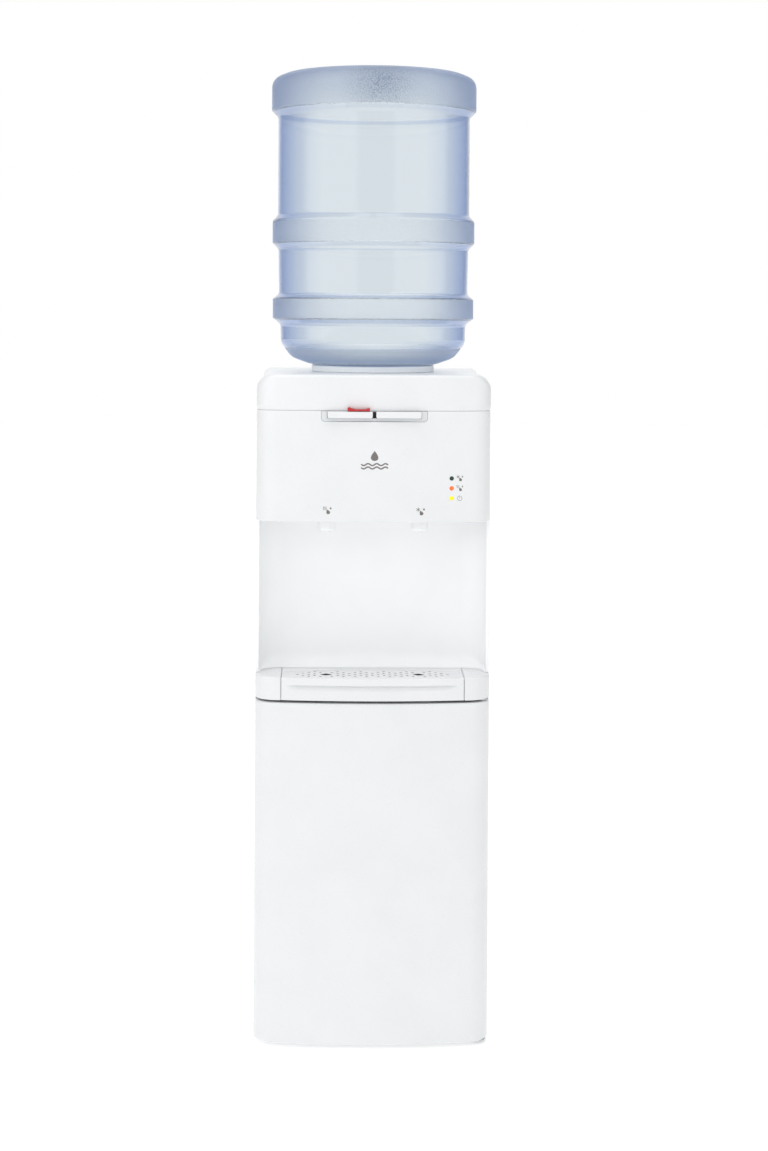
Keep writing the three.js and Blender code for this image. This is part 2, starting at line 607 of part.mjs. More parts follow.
function makeLeds() {
  const backOfWall = bowY(LED_X, FASCIA_INSET) + PLASTIC + 3;
  const names = [["led_cooling", "green"], ["led_heating", "orange"], ["led_power", "yellow"]];
  names.forEach(([name, colour], i) => {
    const z = LED_TOP_Z - i * LED_PITCH;
    const face = bowY(LED_X, FASCIA_INSET) - 0.4;
    const depth = backOfWall - GAP - face;
    const points = [[0, 0], [1.5, 0.3], [LED_RADIUS, 1.4], [LED_RADIUS, depth], [0, depth]];
    const g = new THREE.LatheGeometry(points.map(([r, t]) => new THREE.Vector2(r, t)), 12);
    add(name, solid(g.translate(LED_X, face, z)), colour);
  });
  add("led_board", box(LED_X - 12, LED_X + 24, backOfWall + 8, backOfWall + 9.6,
    LED_TOP_Z - 2 * LED_PITCH - 10, LED_TOP_Z + 10)
    .add(box(LED_X - 5, LED_X + 5, backOfWall, backOfWall + 8.5, LED_TOP_Z - 2 * LED_PITCH - 4,
      LED_TOP_Z + 4)), "board");
}

// ---- Alcove wall, drip tray housing, tray and grille ----

// Plan of a U-shaped wall open to the front.
function alcoveShape(half, depth, radius) {
  const s = new THREE.Shape();
  const start = FRONT + DOOR_DEPTH - 10;
  s.moveTo(-half, start);
  s.lineTo(half, start);
  s.lineTo(half, FRONT + depth - radius);
  s.absarc(half - radius, FRONT + depth - radius, radius, 0, Math.PI / 2, false);
  s.lineTo(-half + radius, FRONT + depth);
  s.absarc(-half + radius, FRONT + depth - radius, radius, Math.PI / 2, Math.PI, false);
  s.closePath();
  return s;
}

function makeAlcove() {
  const z0 = SHELF_TOP + GAP;
  const z1 = FASCIA_BOTTOM - GAP;
  const outerHalf = HALF - SHEET - GAP;
  const innerHalf = HALF - SHEET - GAP - PLASTIC;
  const start = FRONT + BODY_START;
  const outer = raise(alcoveShape(outerHalf, ALCOVE_DEPTH + PLASTIC, ALCOVE_CORNER + PLASTIC), z0, z1, 6);
  const inner = raise(alcoveShape(innerHalf, ALCOVE_DEPTH, ALCOVE_CORNER), z0 - 1, z1 + 1, 6);
  const front = box(-HALF - 5, HALF + 5, FRONT - 5, start - GAP - 1.8, z0 - 5, z1 + 5);
  const lips = join(
    box(-HALF, -innerHalf, start - GAP - 1.8, start - GAP, z0, z1),
    box(innerHalf, HALF, start - GAP - 1.8, start - GAP, z0, z1));
  add("alcove_liner", join(cut(outer, inner, front), lips), "white");
}

// Lens-shaped plan of the tray: bowed front, bowed rear.
function trayShape(half, frontInset, rearCentre, rearEnd, frontEnd) {
  const s = new THREE.Shape();
  const steps = 12;
  for (let i = 0; i <= steps; i++) {
    const x = -half + (2 * half * i) / steps;
    const y = frontEnd === undefined ? bowY(x, frontInset)
      : FRONT + frontInset + (frontEnd - frontInset) * (x / half) ** 2;
    if (i) s.lineTo(x, y);
    else s.moveTo(x, y);
  }
  for (let i = steps; i >= 0; i--) {
    const x = -half + (2 * half * i) / steps;
    s.lineTo(x, FRONT + rearCentre - (rearCentre - rearEnd) * (x / half) ** 2);
  }
  s.closePath();
  return s;
}

const HOUSING_FLOOR = DOOR_TOP + DOOR_GAP;
const TRAY_HALF = TRAY_WIDTH / 2;
const GRILLE_HALF = TRAY_HALF - GRILLE_MARGIN;
const MIDDLE_COLUMN = (HOLE_COLUMNS - 1) / 2;
const HOLE_PITCH_X = (GRILLE_HALF - HOLE_MARGIN) / MIDDLE_COLUMN;
const TAP_COLUMN = Math.round(TAP_X / HOLE_PITCH_X); // a diamond sits under each tap
const DIAMOND_COLUMNS = [MIDDLE_COLUMN - TAP_COLUMN, MIDDLE_COLUMN + TAP_COLUMN];
const TRAY_WALL = 2.2;
const TRAY_REAR = GRILLE_REAR_CENTRE + TRAY_WALL;

function makeTrayHousing() {
  const wrap = FRONT + BODY_START - GAP;
  const back = FRONT + ALCOVE_DEPTH + PLASTIC;
  const inside = HALF - SHEET - GAP;
  const block = join(
    raise(planShape(0, wrap), HOUSING_FLOOR, SHELF_TOP, 10),
    box(-inside, inside, wrap - 1, back, HOUSING_FLOOR, SHELF_TOP));
  const clear = TRAY_HALF + SLIDE;
  const mouth = box(-clear, clear, FRONT - 5, FRONT + TRAY_FRONT_THICK + 2, HOUSING_FLOOR - 1, SHELF_TOP + 1);
  const well = box(-clear, clear, FRONT, FRONT + TRAY_REAR + SLIDE, HOUSING_FLOOR + PLASTIC,
    SHELF_TOP + 1);
  const hollow = [-1, 1].map((s) => {
    const [a, b] = [s * (clear + PLASTIC), s * (HALF - 2 * PLASTIC)];
    return box(Math.min(a, b), Math.max(a, b), FRONT + 32, back - PLASTIC, HOUSING_FLOOR - 1,
      SHELF_TOP - PLASTIC);
  });
  add("tray_housing", cut(block, mouth, well, ...hollow), "white");
}

function makeTrayAndGrille() {
  const top = SHELF_TOP - 0.4;
  const outer = raise(trayShape(TRAY_HALF, 0, TRAY_REAR, TRAY_REAR), HOUSING_FLOOR + PLASTIC + SLIDE,
    top, 4);
  const front = outer.add(raise(trayShape(TRAY_HALF, 0, TRAY_FRONT_THICK, TRAY_FRONT_THICK),
    HOUSING_FLOOR + 0.4, top, 4));
  const grilleTop = SHELF_TOP - GRILLE_DROP;
  const ledge = raise(trayShape(GRILLE_HALF + SLIDE, GRILLE_FRONT_CENTRE - SLIDE,
    GRILLE_REAR_CENTRE + SLIDE, GRILLE_REAR_END + SLIDE, 15 - SLIDE), grilleTop - GRILLE_THICK - GAP,
    SHELF_TOP + 1, 4);
  const basin = raise(trayShape(GRILLE_HALF - 3, TRAY_FRONT_THICK, GRILLE_REAR_CENTRE - 2,
    GRILLE_REAR_END - 2, 18), HOUSING_FLOOR + PLASTIC + SLIDE + TRAY_WALL, SHELF_TOP, 4);
  const groove = carry(roundedFace(-TRAY_HALF + 3, TRAY_HALF - 3, 453.3, 460.7, 0, 3), FRONT - 5,
    FRONT + 3.6, 3).subtract(raise(planShape(3.4, FRONT + BODY_START), 440, 480, 10));
  add("drip_tray", cut(front, ledge, basin, groove), "white");

  const holes = [];
  const middle = FRONT + (GRILLE_FRONT_CENTRE + GRILLE_REAR_CENTRE) / 2;
  for (let column = 0; column < HOLE_COLUMNS; column++) {
    const limit = column % (HOLE_COLUMNS - 1) ? [2, 1, 2, 3][column % 4] : 0;
    const big = DIAMOND_COLUMNS.includes(column);
    for (let row = -3; row <= 3; row++) {
      const beside = row === 0 && DIAMOND_COLUMNS.some((c) => Math.abs(c - column) === 1);
      if ((column + row) % 2 || Math.abs(row) > limit || big || beside) continue;
      holes.push([(column - MIDDLE_COLUMN) * HOLE_PITCH_X, middle + row * HOLE_PITCH_Y]);
    }
  }
  const plate = trayShape(GRILLE_HALF, GRILLE_FRONT_CENTRE, GRILLE_REAR_CENTRE, GRILLE_REAR_END, 15);
  const pierce = (x, y, rx, ry, sides) => {
    const hole = new THREE.Path();
    for (let i = 0; i < sides; i++) {
      const a = (2 * Math.PI * i) / sides;
      if (i) hole.lineTo(x + rx * Math.cos(a), y + ry * Math.sin(a));
      else hole.moveTo(x + rx, y);
    }
    hole.closePath();
    plate.holes.push(hole);
  };
  holes.forEach(([x, y]) => pierce(x, y, HOLE_RADIUS, HOLE_RADIUS, 4));
  for (const column of DIAMOND_COLUMNS)
    pierce((column - MIDDLE_COLUMN) * HOLE_PITCH_X, middle, DIAMOND_X, DIAMOND_Y, 4);
  add("drip_grille", raise(plate, grilleTop - GRILLE_THICK, grilleTop, 4), "lightGrey");
}

// ---- Water system ----

function makeColdSide() {
  const r = COLD_TANK_RADIUS;
  const z0 = COLD_TANK_BOTTOM;
  add("cold_tank", turn([[0, z0], [r, z0], [r, COLD_TANK_TOP], [r - TANK_WALL, COLD_TANK_TOP],
    [r - TANK_WALL, z0 + TANK_WALL], [0, z0 + TANK_WALL]], 0, BOTTLE_Y, 28), "steel");
  const coilRadius = r + COIL_TUBE + COIL_CLEAR;
  add("evaporator_coil", tubeAlong(new Helix(coilRadius, 0, BOTTLE_Y, z0 + 8, z0 + 68, 5),
    COIL_TUBE, 80, 5), "copper");
  const inner = coilRadius + COIL_TUBE + 0.6;
  add("cold_tank_jacket", turn([[0, z0 - JACKET_FLOOR], [JACKET_OUTER, z0 - JACKET_FLOOR],
    [JACKET_OUTER, z0 + 96], [inner, z0 + 96], [inner, z0 - GAP], [0, z0 - GAP]], 0, BOTTLE_Y, 28)
    .subtract(rod(HOSE_RADIUS + 2.5, 0, BOTTLE_Y, z0 - 30, z0 + 3, 10)), "foam");
}

function makeHotSide() {
  const r = HOT_TANK_RADIUS;
  const strap = (z) => box(-12, 12, HOT_TANK_Y, REAR - 2 * SHEET - 2 * GAP, z, z + 2);
  const vessel = turn([[0, HOT_TANK_BOTTOM], [r - 8, HOT_TANK_BOTTOM], [r, HOT_TANK_BOTTOM + 8],
    [r, HOT_TANK_TOP - 8], [r - 8, HOT_TANK_TOP], [0, HOT_TANK_TOP]], 0, HOT_TANK_Y, 24);
  add("hot_tank", join(vessel, strap(HOT_TANK_BOTTOM + 16), strap(HOT_TANK_TOP - 18)), "steel");
  add("heater_band", ring(r + GAP, r + 3.5, 0, HOT_TANK_Y, 520, 562), "dark");
  add("thermostat", rodAlongY(9, 0, 600, HOT_TANK_Y + r + 0.6, HOT_TANK_Y + r + 12), "dark");
}

function makeHoses() {
  const tapInlet = TAP_Y + TAP_INLET_REACH + GAP;
  const under = COLD_TANK_BOTTOM - JACKET_FLOOR - HOSE_RADIUS - 1; // level that clears the jacket
  const end = 2 * GAP; // a hose stops short of the tank it joins
  const hose = (name, points, steps) => add(name, tube(points, HOSE_RADIUS, steps), "silicone");
  hose("hot_hose", [[-TAP_X, tapInlet, TAP_INLET_Z], [-TAP_X, tapInlet + 10, TAP_INLET_Z],
    [-TAP_X + 1, FRONT + 108, under], [-40, HOT_TANK_Y - 34, 668], [-20, HOT_TANK_Y - 8, 657],
    [-16, HOT_TANK_Y, HOT_TANK_TOP + 8], [-16, HOT_TANK_Y, HOT_TANK_TOP + end]], 20);
  hose("cold_hose", [[TAP_X, tapInlet, TAP_INLET_Z], [TAP_X, tapInlet + 10, TAP_INLET_Z],
    [TAP_X - 3, FRONT + 108, under], [30, BOTTLE_Y - 14, under - 2], [7, BOTTLE_Y - 3, under - 2.5],
    [0, BOTTLE_Y, under + 9], [0, BOTTLE_Y, COLD_TANK_BOTTOM - end]], 20);
  hose("feed_hose", [[24, HOT_TANK_Y + 20, HOT_TANK_TOP + end], [24, HOT_TANK_Y + 20, HOT_TANK_TOP + 8],
    [34, HOT_TANK_Y + 30, 654], [72, 74, 666], [102, 98, 690], [114, 102, 740], [106, 84, 790],
    [88, 60, 806]], 22);
  hose("drain_hose", [[0, HOT_TANK_Y, HOT_TANK_BOTTOM - end], [0, HOT_TANK_Y, 478],
    [-30, 40, 452], [-92, 60, 420], [-118, 84, 320], [-112, 96, 180], [DRAIN_X, 104, 80],
    [DRAIN_X, 112, DRAIN_Z + 3], [DRAIN_X, DRAIN_INNER - GAP, DRAIN_Z]], 26);
}

// ---- Refrigeration ----

const PIPE_X = CONDENSER_HALF - 4;
const PIPE_HOLE = 5;
const LAP = 0.6; // straights of the condenser run this far into its bends
const CONDENSER_Y = REAR + CONDENSER_STAND - CONDENSER_TUBE - CONDENSER_WIRE * 1.5;
const CONDENSER_TOP = CONDENSER_BOTTOM + (CONDENSER_RUNS - 1) * CONDENSER_PITCH;
const WIRE_Y = CONDENSER_Y + CONDENSER_TUBE + CONDENSER_WIRE / 2;
const WIRE_SPREAD = CONDENSER_HALF - CONDENSER_PITCH / 2 - 4;
const pipeZ = (side) => (side < 0 ? CONDENSER_BOTTOM : CONDENSER_TOP) - 20;

function makeCompressor() {
  const y = REAR - COMPRESSOR_RADIUS - 10;
  const r = COMPRESSOR_RADIUS;
  const z0 = DOOR_BOTTOM + PLASTIC + GAP + 6;
  const shell = turn([[0, z0 + 4], [r - 14, z0 + 4], [r - 2, z0 + 18], [r - 2, 92], [r, 93], [r, 98],
    [r - 3, 99], [r - 5, COMPRESSOR_TOP - 24], [r - 20, COMPRESSOR_TOP - 4], [0, COMPRESSOR_TOP]], 0, y, 24);
  const foot = box(-62, 62, y - 34, y + 34, z0, z0 + 6);
  const pads = [-52, 52].flatMap((x) => [-26, 26].map((dy) =>
    rod(6, x, y + dy, z0 - 6, z0 + 1, 8)));
  const terminal = box(-r - 10, -r + 8, y - 16, y + 16, 70, 104);
  add("compressor", join(shell, foot, ...pads, terminal), "black");
  add("filter_dryer", turn([[0, 0], [3, 0], [3, 8], [8, 14], [8, 70], [3, 76], [3, 84], [0, 84]],
    -60, REAR - 24, 12).translate([0, 0, 200]), "copper");
  const side = HALF - PIPE_IN;
  add("suction_pipe", tube([[30, y, COMPRESSOR_TOP + 4], [32, y, 190], [70, 104, 212],
    [side - 4, 108, 300], [side, 100, 520], [side - 12, 96, 640], [side - 4, 60, 700]],
    PIPE_RADIUS, 20), "copper");
}

function makeCondenser() {
  const y = CONDENSER_Y;
  const bend = CONDENSER_PITCH / 2;
  const reach = CONDENSER_HALF - bend;
  const elbow = 12;
  const inside = REAR - 14;
  const pieces = [];
  const p = (x, z, depth = y) => new THREE.Vector3(x, depth, z);
  const straight = (from, to) => {
    const lap = to.clone().sub(from).setLength(LAP);
    pieces.push(tubeAlong(new THREE.LineCurve3(from.sub(lap), to.add(lap)), CONDENSER_TUBE, 1, 5));
  };
  const corner = (from, middle, to) =>
    pieces.push(tubeAlong(new THREE.QuadraticBezierCurve3(from, middle, to), CONDENSER_TUBE, 4, 5));
  for (let run = 0; run < CONDENSER_RUNS; run++) {
    const z = CONDENSER_BOTTOM + run * CONDENSER_PITCH;
    const way = run % 2 ? -1 : 1;
    const first = run === 0;
    const last = run === CONDENSER_RUNS - 1;
    straight(p(first ? -PIPE_X + elbow : -way * reach, z), p(last ? PIPE_X - elbow : way * reach, z));
    const bulge = way * (reach + bend * 4 / 3);
    if (!last)
      pieces.push(tubeAlong(new THREE.CubicBezierCurve3(p(way * reach, z), p(bulge, z),
        p(bulge, z + CONDENSER_PITCH), p(way * reach, z + CONDENSER_PITCH)), CONDENSER_TUBE, 6, 5));
  }
  // Both ends turn down, then in through the rear panel.
  for (const [side, top] of [[-1, CONDENSER_BOTTOM], [1, CONDENSER_TOP]]) {
    const x = side * PIPE_X;
    const z = pipeZ(side);
    corner(p(x - side * elbow, top), p(x, top), p(x, top - elbow / 2));
    corner(p(x, z + elbow / 2), p(x, z), p(x, z, y - elbow / 2));
    straight(p(x, top - elbow / 2), p(x, z + elbow / 2));
    straight(p(x, z, y - elbow / 2), p(x, z, inside));
  }
  for (let i = 0; i < CONDENSER_WIRES; i++) {
    const x = -WIRE_SPREAD + (2 * WIRE_SPREAD * i) / (CONDENSER_WIRES - 1);
    pieces.push(box(x - CONDENSER_WIRE, x + CONDENSER_WIRE, WIRE_Y - CONDENSER_WIRE,
      WIRE_Y + CONDENSER_WIRE, CONDENSER_BOTTOM - 12, CONDENSER_TOP + 12));
  }
  add("condenser", join(...pieces), "black");
}

// ---- Rear fittings ----

const SWITCH_HOLE = 33;
const INLET_BODY = 9;
const DRAIN_BORE = 8;
const DRAIN_INNER = REAR - 20;
const ROCKER_X = 9;
const ROCKER_Z = 12;

function makeRearFittings() {
  const z = SWITCH_PLATE_Z;
  const half = ROCKER_X + SLIDE;
  const windows = [-1, 1].map((s) => s * SWITCH_SPACING / 2).map((x) =>
    box(x - half, x + half, REAR - 12, REAR + 5, z - ROCKER_Z - SLIDE, z + ROCKER_Z + SLIDE));
  add("switch_plate", cut(
    join(box(-40, 40, REAR - SHEET + 0.1, REAR + 2, z - 21, z + 21),
      box(-SWITCH_HOLE + GAP, SWITCH_HOLE - GAP, REAR - 16, REAR, z - 15 + GAP, z + 15 - GAP)),
    ...windows), "dark");
  for (const [name, sign, colour] of [["hot", -1, "red"], ["cold", 1, "green"]]) {
    const x = sign * SWITCH_SPACING / 2;
    const s = new THREE.Shape(); // rocker seen from the side: pressed at its lower half
    s.moveTo(REAR - 8, z - ROCKER_Z + 1);
    s.lineTo(REAR + 1.2, z - ROCKER_Z + 0.6);
    s.lineTo(REAR + 1.6, z);
    s.lineTo(REAR + 5, z + ROCKER_Z - 1.6);
    s.lineTo(REAR - 5, z + ROCKER_Z - 0.8);
    s.closePath();
    const g = new THREE.ExtrudeGeometry(s, { depth: 2 * ROCKER_X, bevelEnabled: false });
    g.rotateX(Math.PI / 2).rotateZ(Math.PI / 2).translate(x - ROCKER_X, 0, 0);
    add(`${name}_switch`, solid(g), colour);
  }
  // Mains inlet gland: the lead itself is left off.
  add("power_inlet", rodAlongY(INLET_BODY, INLET_X, INLET_Z, REAR - 14, REAR + 5, 16)
    .add(rodAlongY(INLET_BODY + 3, INLET_X, INLET_Z, REAR + GAP, REAR + 2.4, 16))
    .subtract(rodAlongY(4, INLET_X, INLET_Z, REAR - 20, REAR + 10, 10)), "dark");
  const outlet = rodAlongY(DRAIN_BORE, DRAIN_X, DRAIN_Z, DRAIN_INNER, REAR + 14, 14)
    .add(rodAlongY(DRAIN_BORE + 4, DRAIN_X, DRAIN_Z, REAR + GAP, REAR + 3, 14))
    .subtract(rodAlongY(5, DRAIN_X, DRAIN_Z, DRAIN_INNER - 5, REAR + 20, 10));
  add("drain_outlet", outlet, "offWhite");
  const capY = REAR + 3 + GAP;
  add("drain_cap", rodAlongY(DRAIN_BORE + 4, DRAIN_X, DRAIN_Z, capY, REAR + 19, 14)
    .subtract(rodAlongY(DRAIN_BORE + GAP, DRAIN_X, DRAIN_Z, capY - 5, REAR + 14 + GAP, 14)), "red");
}

// ---- Door and cabinet ----

function makeDoor() {
  const rear = FRONT + DOOR_DEPTH;
  const wall = DOOR_WALL;
  const shell = cut(
    raise(planShape(0, rear), DOOR_BOTTOM, DOOR_TOP, 10),
    raise(planShape(wall, rear + 5), DOOR_BOTTOM + wall, DOOR_TOP - wall, 10));
  const depth = HINGE_DEPTH_IN_DOOR + 3;
  const keep = raise(planShape(0.5, rear - 1), DOOR_BOTTOM, DOOR_TOP, 10);
  const boss = (z0, z1) => rod(HINGE_BOSS, HINGE_X - 1, HINGE_Y, z0, z1, 12).intersect(keep);
  const bore = (z0, z1) => rod(HINGE_PIN + HINGE_CLEAR, HINGE_X, HINGE_Y, z0, z1, 12);
  const bossed = join(shell, boss(DOOR_TOP - depth - 2, DOOR_TOP - 1),
    boss(DOOR_BOTTOM + 1, DOOR_BOTTOM + depth + 2));
  add("door_panel", cut(bossed, bore(DOOR_TOP - depth, DOOR_TOP + 1),
    bore(DOOR_BOTTOM - 1, DOOR_BOTTOM + depth)), "white");
  const inner = HALF - wall - GAP;
  const dish = box(-inner + 24, inner - 24, rear - 8, rear + 1, DOOR_BOTTOM + 40, DOOR_TOP - 40);
  const liner = join(
    box(-inner, inner, rear - PLASTIC, rear, DOOR_BOTTOM + wall + GAP, DOOR_TOP - wall - GAP),
    box(-inner + 21.5, inner - 21.5, rear - 10.5, rear, DOOR_BOTTOM + 37.5, DOOR_TOP - 37.5));
  add("door_liner", cut(liner, dish), "offWhite");
}

function makeHinges() {
  const arm = (z0) => {
    const x0 = HINGE_X - 8;
    const plate = box(x0, HINGE_X + 6, HINGE_Y, FRONT + BODY_START + 16, z0, z0 + HINGE_PLATE);
    return join(plate, rod(7, HINGE_X - 1, HINGE_Y, z0, z0 + HINGE_PLATE, 16));
  };
  const pinLength = HINGE_DEPTH_IN_DOOR;
  const upperZ = DOOR_TOP + 0.7;
  add("upper_hinge", join(arm(upperZ),
    rod(HINGE_PIN, HINGE_X, HINGE_Y, DOOR_TOP - pinLength, upperZ + 1, 12)), "steel");
  const lowerZ = DOOR_BOTTOM - 0.5 - HINGE_PLATE;
  add("lower_hinge", join(arm(lowerZ),
    rod(HINGE_PIN, HINGE_X, HINGE_Y, lowerZ + 1, DOOR_BOTTOM + pinLength, 12)), "steel");
}

function makeCabinet() {
  const start = FRONT + BODY_START;
  const rear = FRONT + CABINET_REAR;
  const h = CABINET_HALF;
  const outer = join(
    box(-HALF + SHEET + GAP, HALF - SHEET - GAP, start, start + PLASTIC, PANEL_BOTTOM, DOOR_TOP),
    box(-h - PLASTIC, h + PLASTIC, start, rear + PLASTIC, CABINET_FLOOR - PLASTIC,
      CABINET_CEILING + PLASTIC));
  add("cabinet_liner", cut(outer,
    box(-h, h, start - 5, rear, CABINET_FLOOR, CABINET_CEILING)), "offWhite");
  add("door_catch", box(-HALF + 6, -HALF + 18, start - GAP - 3.2, start - GAP, 205, 238), "dark");
}

makeBase();
makePanels();
makeCap();
makeSeatAndProbe();
makeBottle();
makeFascia();
makeBezel();
makeButtons();
makeLock();
makeTaps();
makeLeds();
makeAlcove();
makeTrayHousing();
makeTrayAndGrille();
makeColdSide();
makeHotSide();
makeHoses();
makeCompressor();
makeCondenser();
makeRearFittings();
makeDoor();
makeHinges();
makeCabinet();

export default dispenser;
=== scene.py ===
"""Looks of a floor-standing water dispenser with its inverted bottle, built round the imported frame.

Lengths are in millimetres and become metres where a mesh is made. Front is -Y, up is +Z.
"""

import json
from math import cos, pi, radians, sin

import bmesh
import bpy
import numpy as np
from mathutils import Matrix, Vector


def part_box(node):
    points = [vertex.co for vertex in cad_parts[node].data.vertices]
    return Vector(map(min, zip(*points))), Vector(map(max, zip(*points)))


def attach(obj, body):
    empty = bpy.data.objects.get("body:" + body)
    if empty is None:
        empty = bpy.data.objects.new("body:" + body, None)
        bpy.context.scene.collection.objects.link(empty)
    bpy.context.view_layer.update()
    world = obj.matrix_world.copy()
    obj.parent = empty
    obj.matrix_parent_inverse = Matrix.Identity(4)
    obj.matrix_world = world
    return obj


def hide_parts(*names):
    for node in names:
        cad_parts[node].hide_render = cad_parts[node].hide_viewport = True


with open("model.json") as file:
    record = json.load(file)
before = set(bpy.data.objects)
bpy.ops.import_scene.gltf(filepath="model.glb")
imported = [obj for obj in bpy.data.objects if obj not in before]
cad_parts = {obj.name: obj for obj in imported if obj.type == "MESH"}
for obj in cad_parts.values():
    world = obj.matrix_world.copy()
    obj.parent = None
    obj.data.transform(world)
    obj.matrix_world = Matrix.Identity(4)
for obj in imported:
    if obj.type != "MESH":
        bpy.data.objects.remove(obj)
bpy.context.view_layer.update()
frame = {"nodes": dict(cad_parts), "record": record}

MM = 0.001
BODY_OF = {n: b for b, nodes in frame["record"]["behaviour"]["bodies"].items() for n in nodes}


def corners(node):
    """Lowest and highest corner of a CAD node, in millimetres."""
    low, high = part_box(node)
    return np.array(low) / MM, np.array(high) / MM


def middle_of(node):
    """Centre of a CAD node's box, in millimetres."""
    low, high = corners(node)
    return (low + high) / 2


def placed(name, data):
    """A new object in the scene, at the origin."""
    made = bpy.data.objects.new(name, data)
    bpy.context.scene.collection.objects.link(made)
    return made


# ---- Dimensions read from the frame, and the few that shape the new surfaces ----

door_low, door_high = corners("door_panel")
cap_low, cap_high = corners("top_cap")
fascia_low, fascia_high = corners("front_fascia")
shelf_low, shelf_high = corners("tray_housing")
bottle_low, bottle_high = corners("bottle")
seat_low, seat_high = corners("bottle_seat")
grille_low, grille_high = corners("drip_grille")
tray_low, tray_high = corners("drip_tray")
liner_low, liner_high = corners("alcove_liner")
base_low, base_high = corners("base_tray")

FRONT = cap_low[1]
REAR = cap_high[1]
HALF = cap_high[0]
BODY_TOP = cap_high[2]
PANEL_REAR = corners("left_side_panel")[1][1]
PANEL_START = corners("left_side_panel")[0][1]
BOTTLE_Y = (bottle_low[1] + bottle_high[1]) / 2
BOW = 840  # plan radius of the bowed front
CORNER = 30  # plan radius of the front corners
WALL = 2.5  # moulded plastic
ALCOVE_BACK = FRONT + 95
ALCOVE_CORNER = 35
TAP_X, TAP_Y, _ = middle_of("cold_stem")
SMOOTH_BELOW = radians(32)


# ---- Camera, light and floor ----

CAMERA_BACK = 2600  # in front of the body's face
CAMERA_HEIGHT = 940
CAMERA_X = -50
LENS = 64.46
SHIFT = -0.2172
PITCH = 0.5
YAW = 1.35
ROLL = 0.36
ROOM = 0.7  # brightness of the light tent
SOFTBOXES = [(-180, 0.6), (-160, 0.6), (-145, 0.2), (-96, 0.2), (-84, 1.0), (-24, 1.0),
             (-17, 0.42), (20, 0.42), (27, 0.95), (90, 0.95), (100, 0.2), (145, 0.2), (160, 0.6),
             (180, 0.6)]  # heading from the front in degrees, half brightness


def make_camera():
    data = bpy.data.cameras.new("studio_camera")
    data.lens = LENS
    data.shift_y = SHIFT
    camera = placed("studio_camera", data)
    place = Matrix.Translation((CAMERA_X * MM, (FRONT - CAMERA_BACK) * MM, CAMERA_HEIGHT * MM))
    turn = (Matrix.Rotation(radians(-YAW), 4, "Z") @ Matrix.Rotation(radians(90 - PITCH), 4, "X")
            @ Matrix.Rotation(radians(ROLL), 4, "Z"))
    camera.matrix_world = place @ turn
    bpy.context.scene.camera = camera


def make_light():
    """Pale studio with three large panels. The camera sees plain white, reflections see the row of
    softboxes, rays through clear plastic see a slightly darker white, and the rest is the room."""
    bpy.context.scene.view_settings.view_transform = "Standard"
    world = bpy.data.worlds.new("studio")
    bpy.context.scene.world = world
    world.use_nodes = True
    tree = world.node_tree
    tree.nodes.clear()
    out = add(tree, "OutputWorld")
    seen = add(tree, "Background", {"Color": (1, 1, 1, 1), "Strength": 1.0})
    where = add(tree, "TexCoord")
    axes = add(tree, "SeparateXYZ", {"Vector": where.outputs["Generated"]})
    side = add(tree, "MapRange", {"Value": axes.outputs["X"], "From Min": -1, "From Max": 1,
                                  "To Min": ROOM * 1.15, "To Max": ROOM * 0.95})
    room = add(tree, "Background", {"Color": (1, 1, 1, 1), "Strength": side.outputs["Result"]})
    toward = add(tree, "Math", {0: axes.outputs["Y"], 1: -1.0}, operation="MULTIPLY")
    heading = add(tree, "Math", {0: axes.outputs["X"], 1: toward.outputs[0]}, operation="ARCTAN2")
    share = add(tree, "MapRange", {"Value": heading.outputs[0], "From Min": -pi, "From Max": pi})
    boxes = add(tree, "ValToRGB", {"Fac": share.outputs["Result"]})
    ramp = boxes.color_ramp
    ramp.elements.remove(ramp.elements[1])
    for k, (degrees, level) in enumerate(SOFTBOXES):
        stop = ramp.elements[0] if k == 0 else ramp.elements.new((degrees + 180) / 360)
        stop.position = (degrees + 180) / 360
        stop.color = (level, level, level, 1)
    gloss = add(tree, "Background", {"Color": boxes.outputs["Color"], "Strength": 1.8})
    through = add(tree, "Background", {"Color": (0.97, 0.985, 1, 1), "Strength": 0.82})
    path = add(tree, "LightPath")
    mix = room
    for ray, view in (("Glossy", gloss), ("Transmission", through), ("Camera", seen)):
        mix = add(tree, "MixShader", {0: path.outputs[f"Is {ray} Ray"], 1: mix.outputs[0],
                                      2: view.outputs[0]})
    tree.links.new(mix.outputs[0], out.inputs["Surface"])
    panels = {
        "left_panel": ((-1700, -1500, 1600), (0, 0, 900), (1200, 1600), 4),
        "front_panel": ((-200, -1500, 1500), (0, 0, 800), (1400, 900), 3),
        "overhead_panel": ((0, -600, 2500), (0, -100, 600), (1800, 1800), 14),
    }
    for name, (place, aim, size, power) in panels.items():
        light = bpy.data.lights.new(name, "AREA")
        light.shape = "RECTANGLE"
        light.size, light.size_y = size[0] * MM, size[1] * MM
        light.energy = power
        lamp = placed(name, light)
        away = Matrix.Translation(np.array(place) * MM).to_translation()
        look = away - Matrix.Translation(np.array(aim) * MM).to_translation()
        lamp.location = away
        lamp.rotation_euler = look.to_track_quat("Z", "Y").to_euler()
        lamp.visible_glossy = False
        lamp.visible_transmission = False


def make_floor():
    """Flat disc, a fan of rings, far larger than the view."""
    radii = np.array([0.0, 400, 1500, 6000, 14000])
    angle = np.linspace(0, 2 * pi, 65)[:-1]
    r, a = np.meshgrid(radii, angle, indexing="ij")
    grid = np.stack([r * np.cos(a), r * np.sin(a), 0 * r - 0.3], axis=-1)
    floor = sheet_of("studio_floor", grid, wrap_v=True)
    floor.data.materials.append(light_table("studio_light_table", "#f8f8f8", 0.33))


# ---- Nodes and colours ----


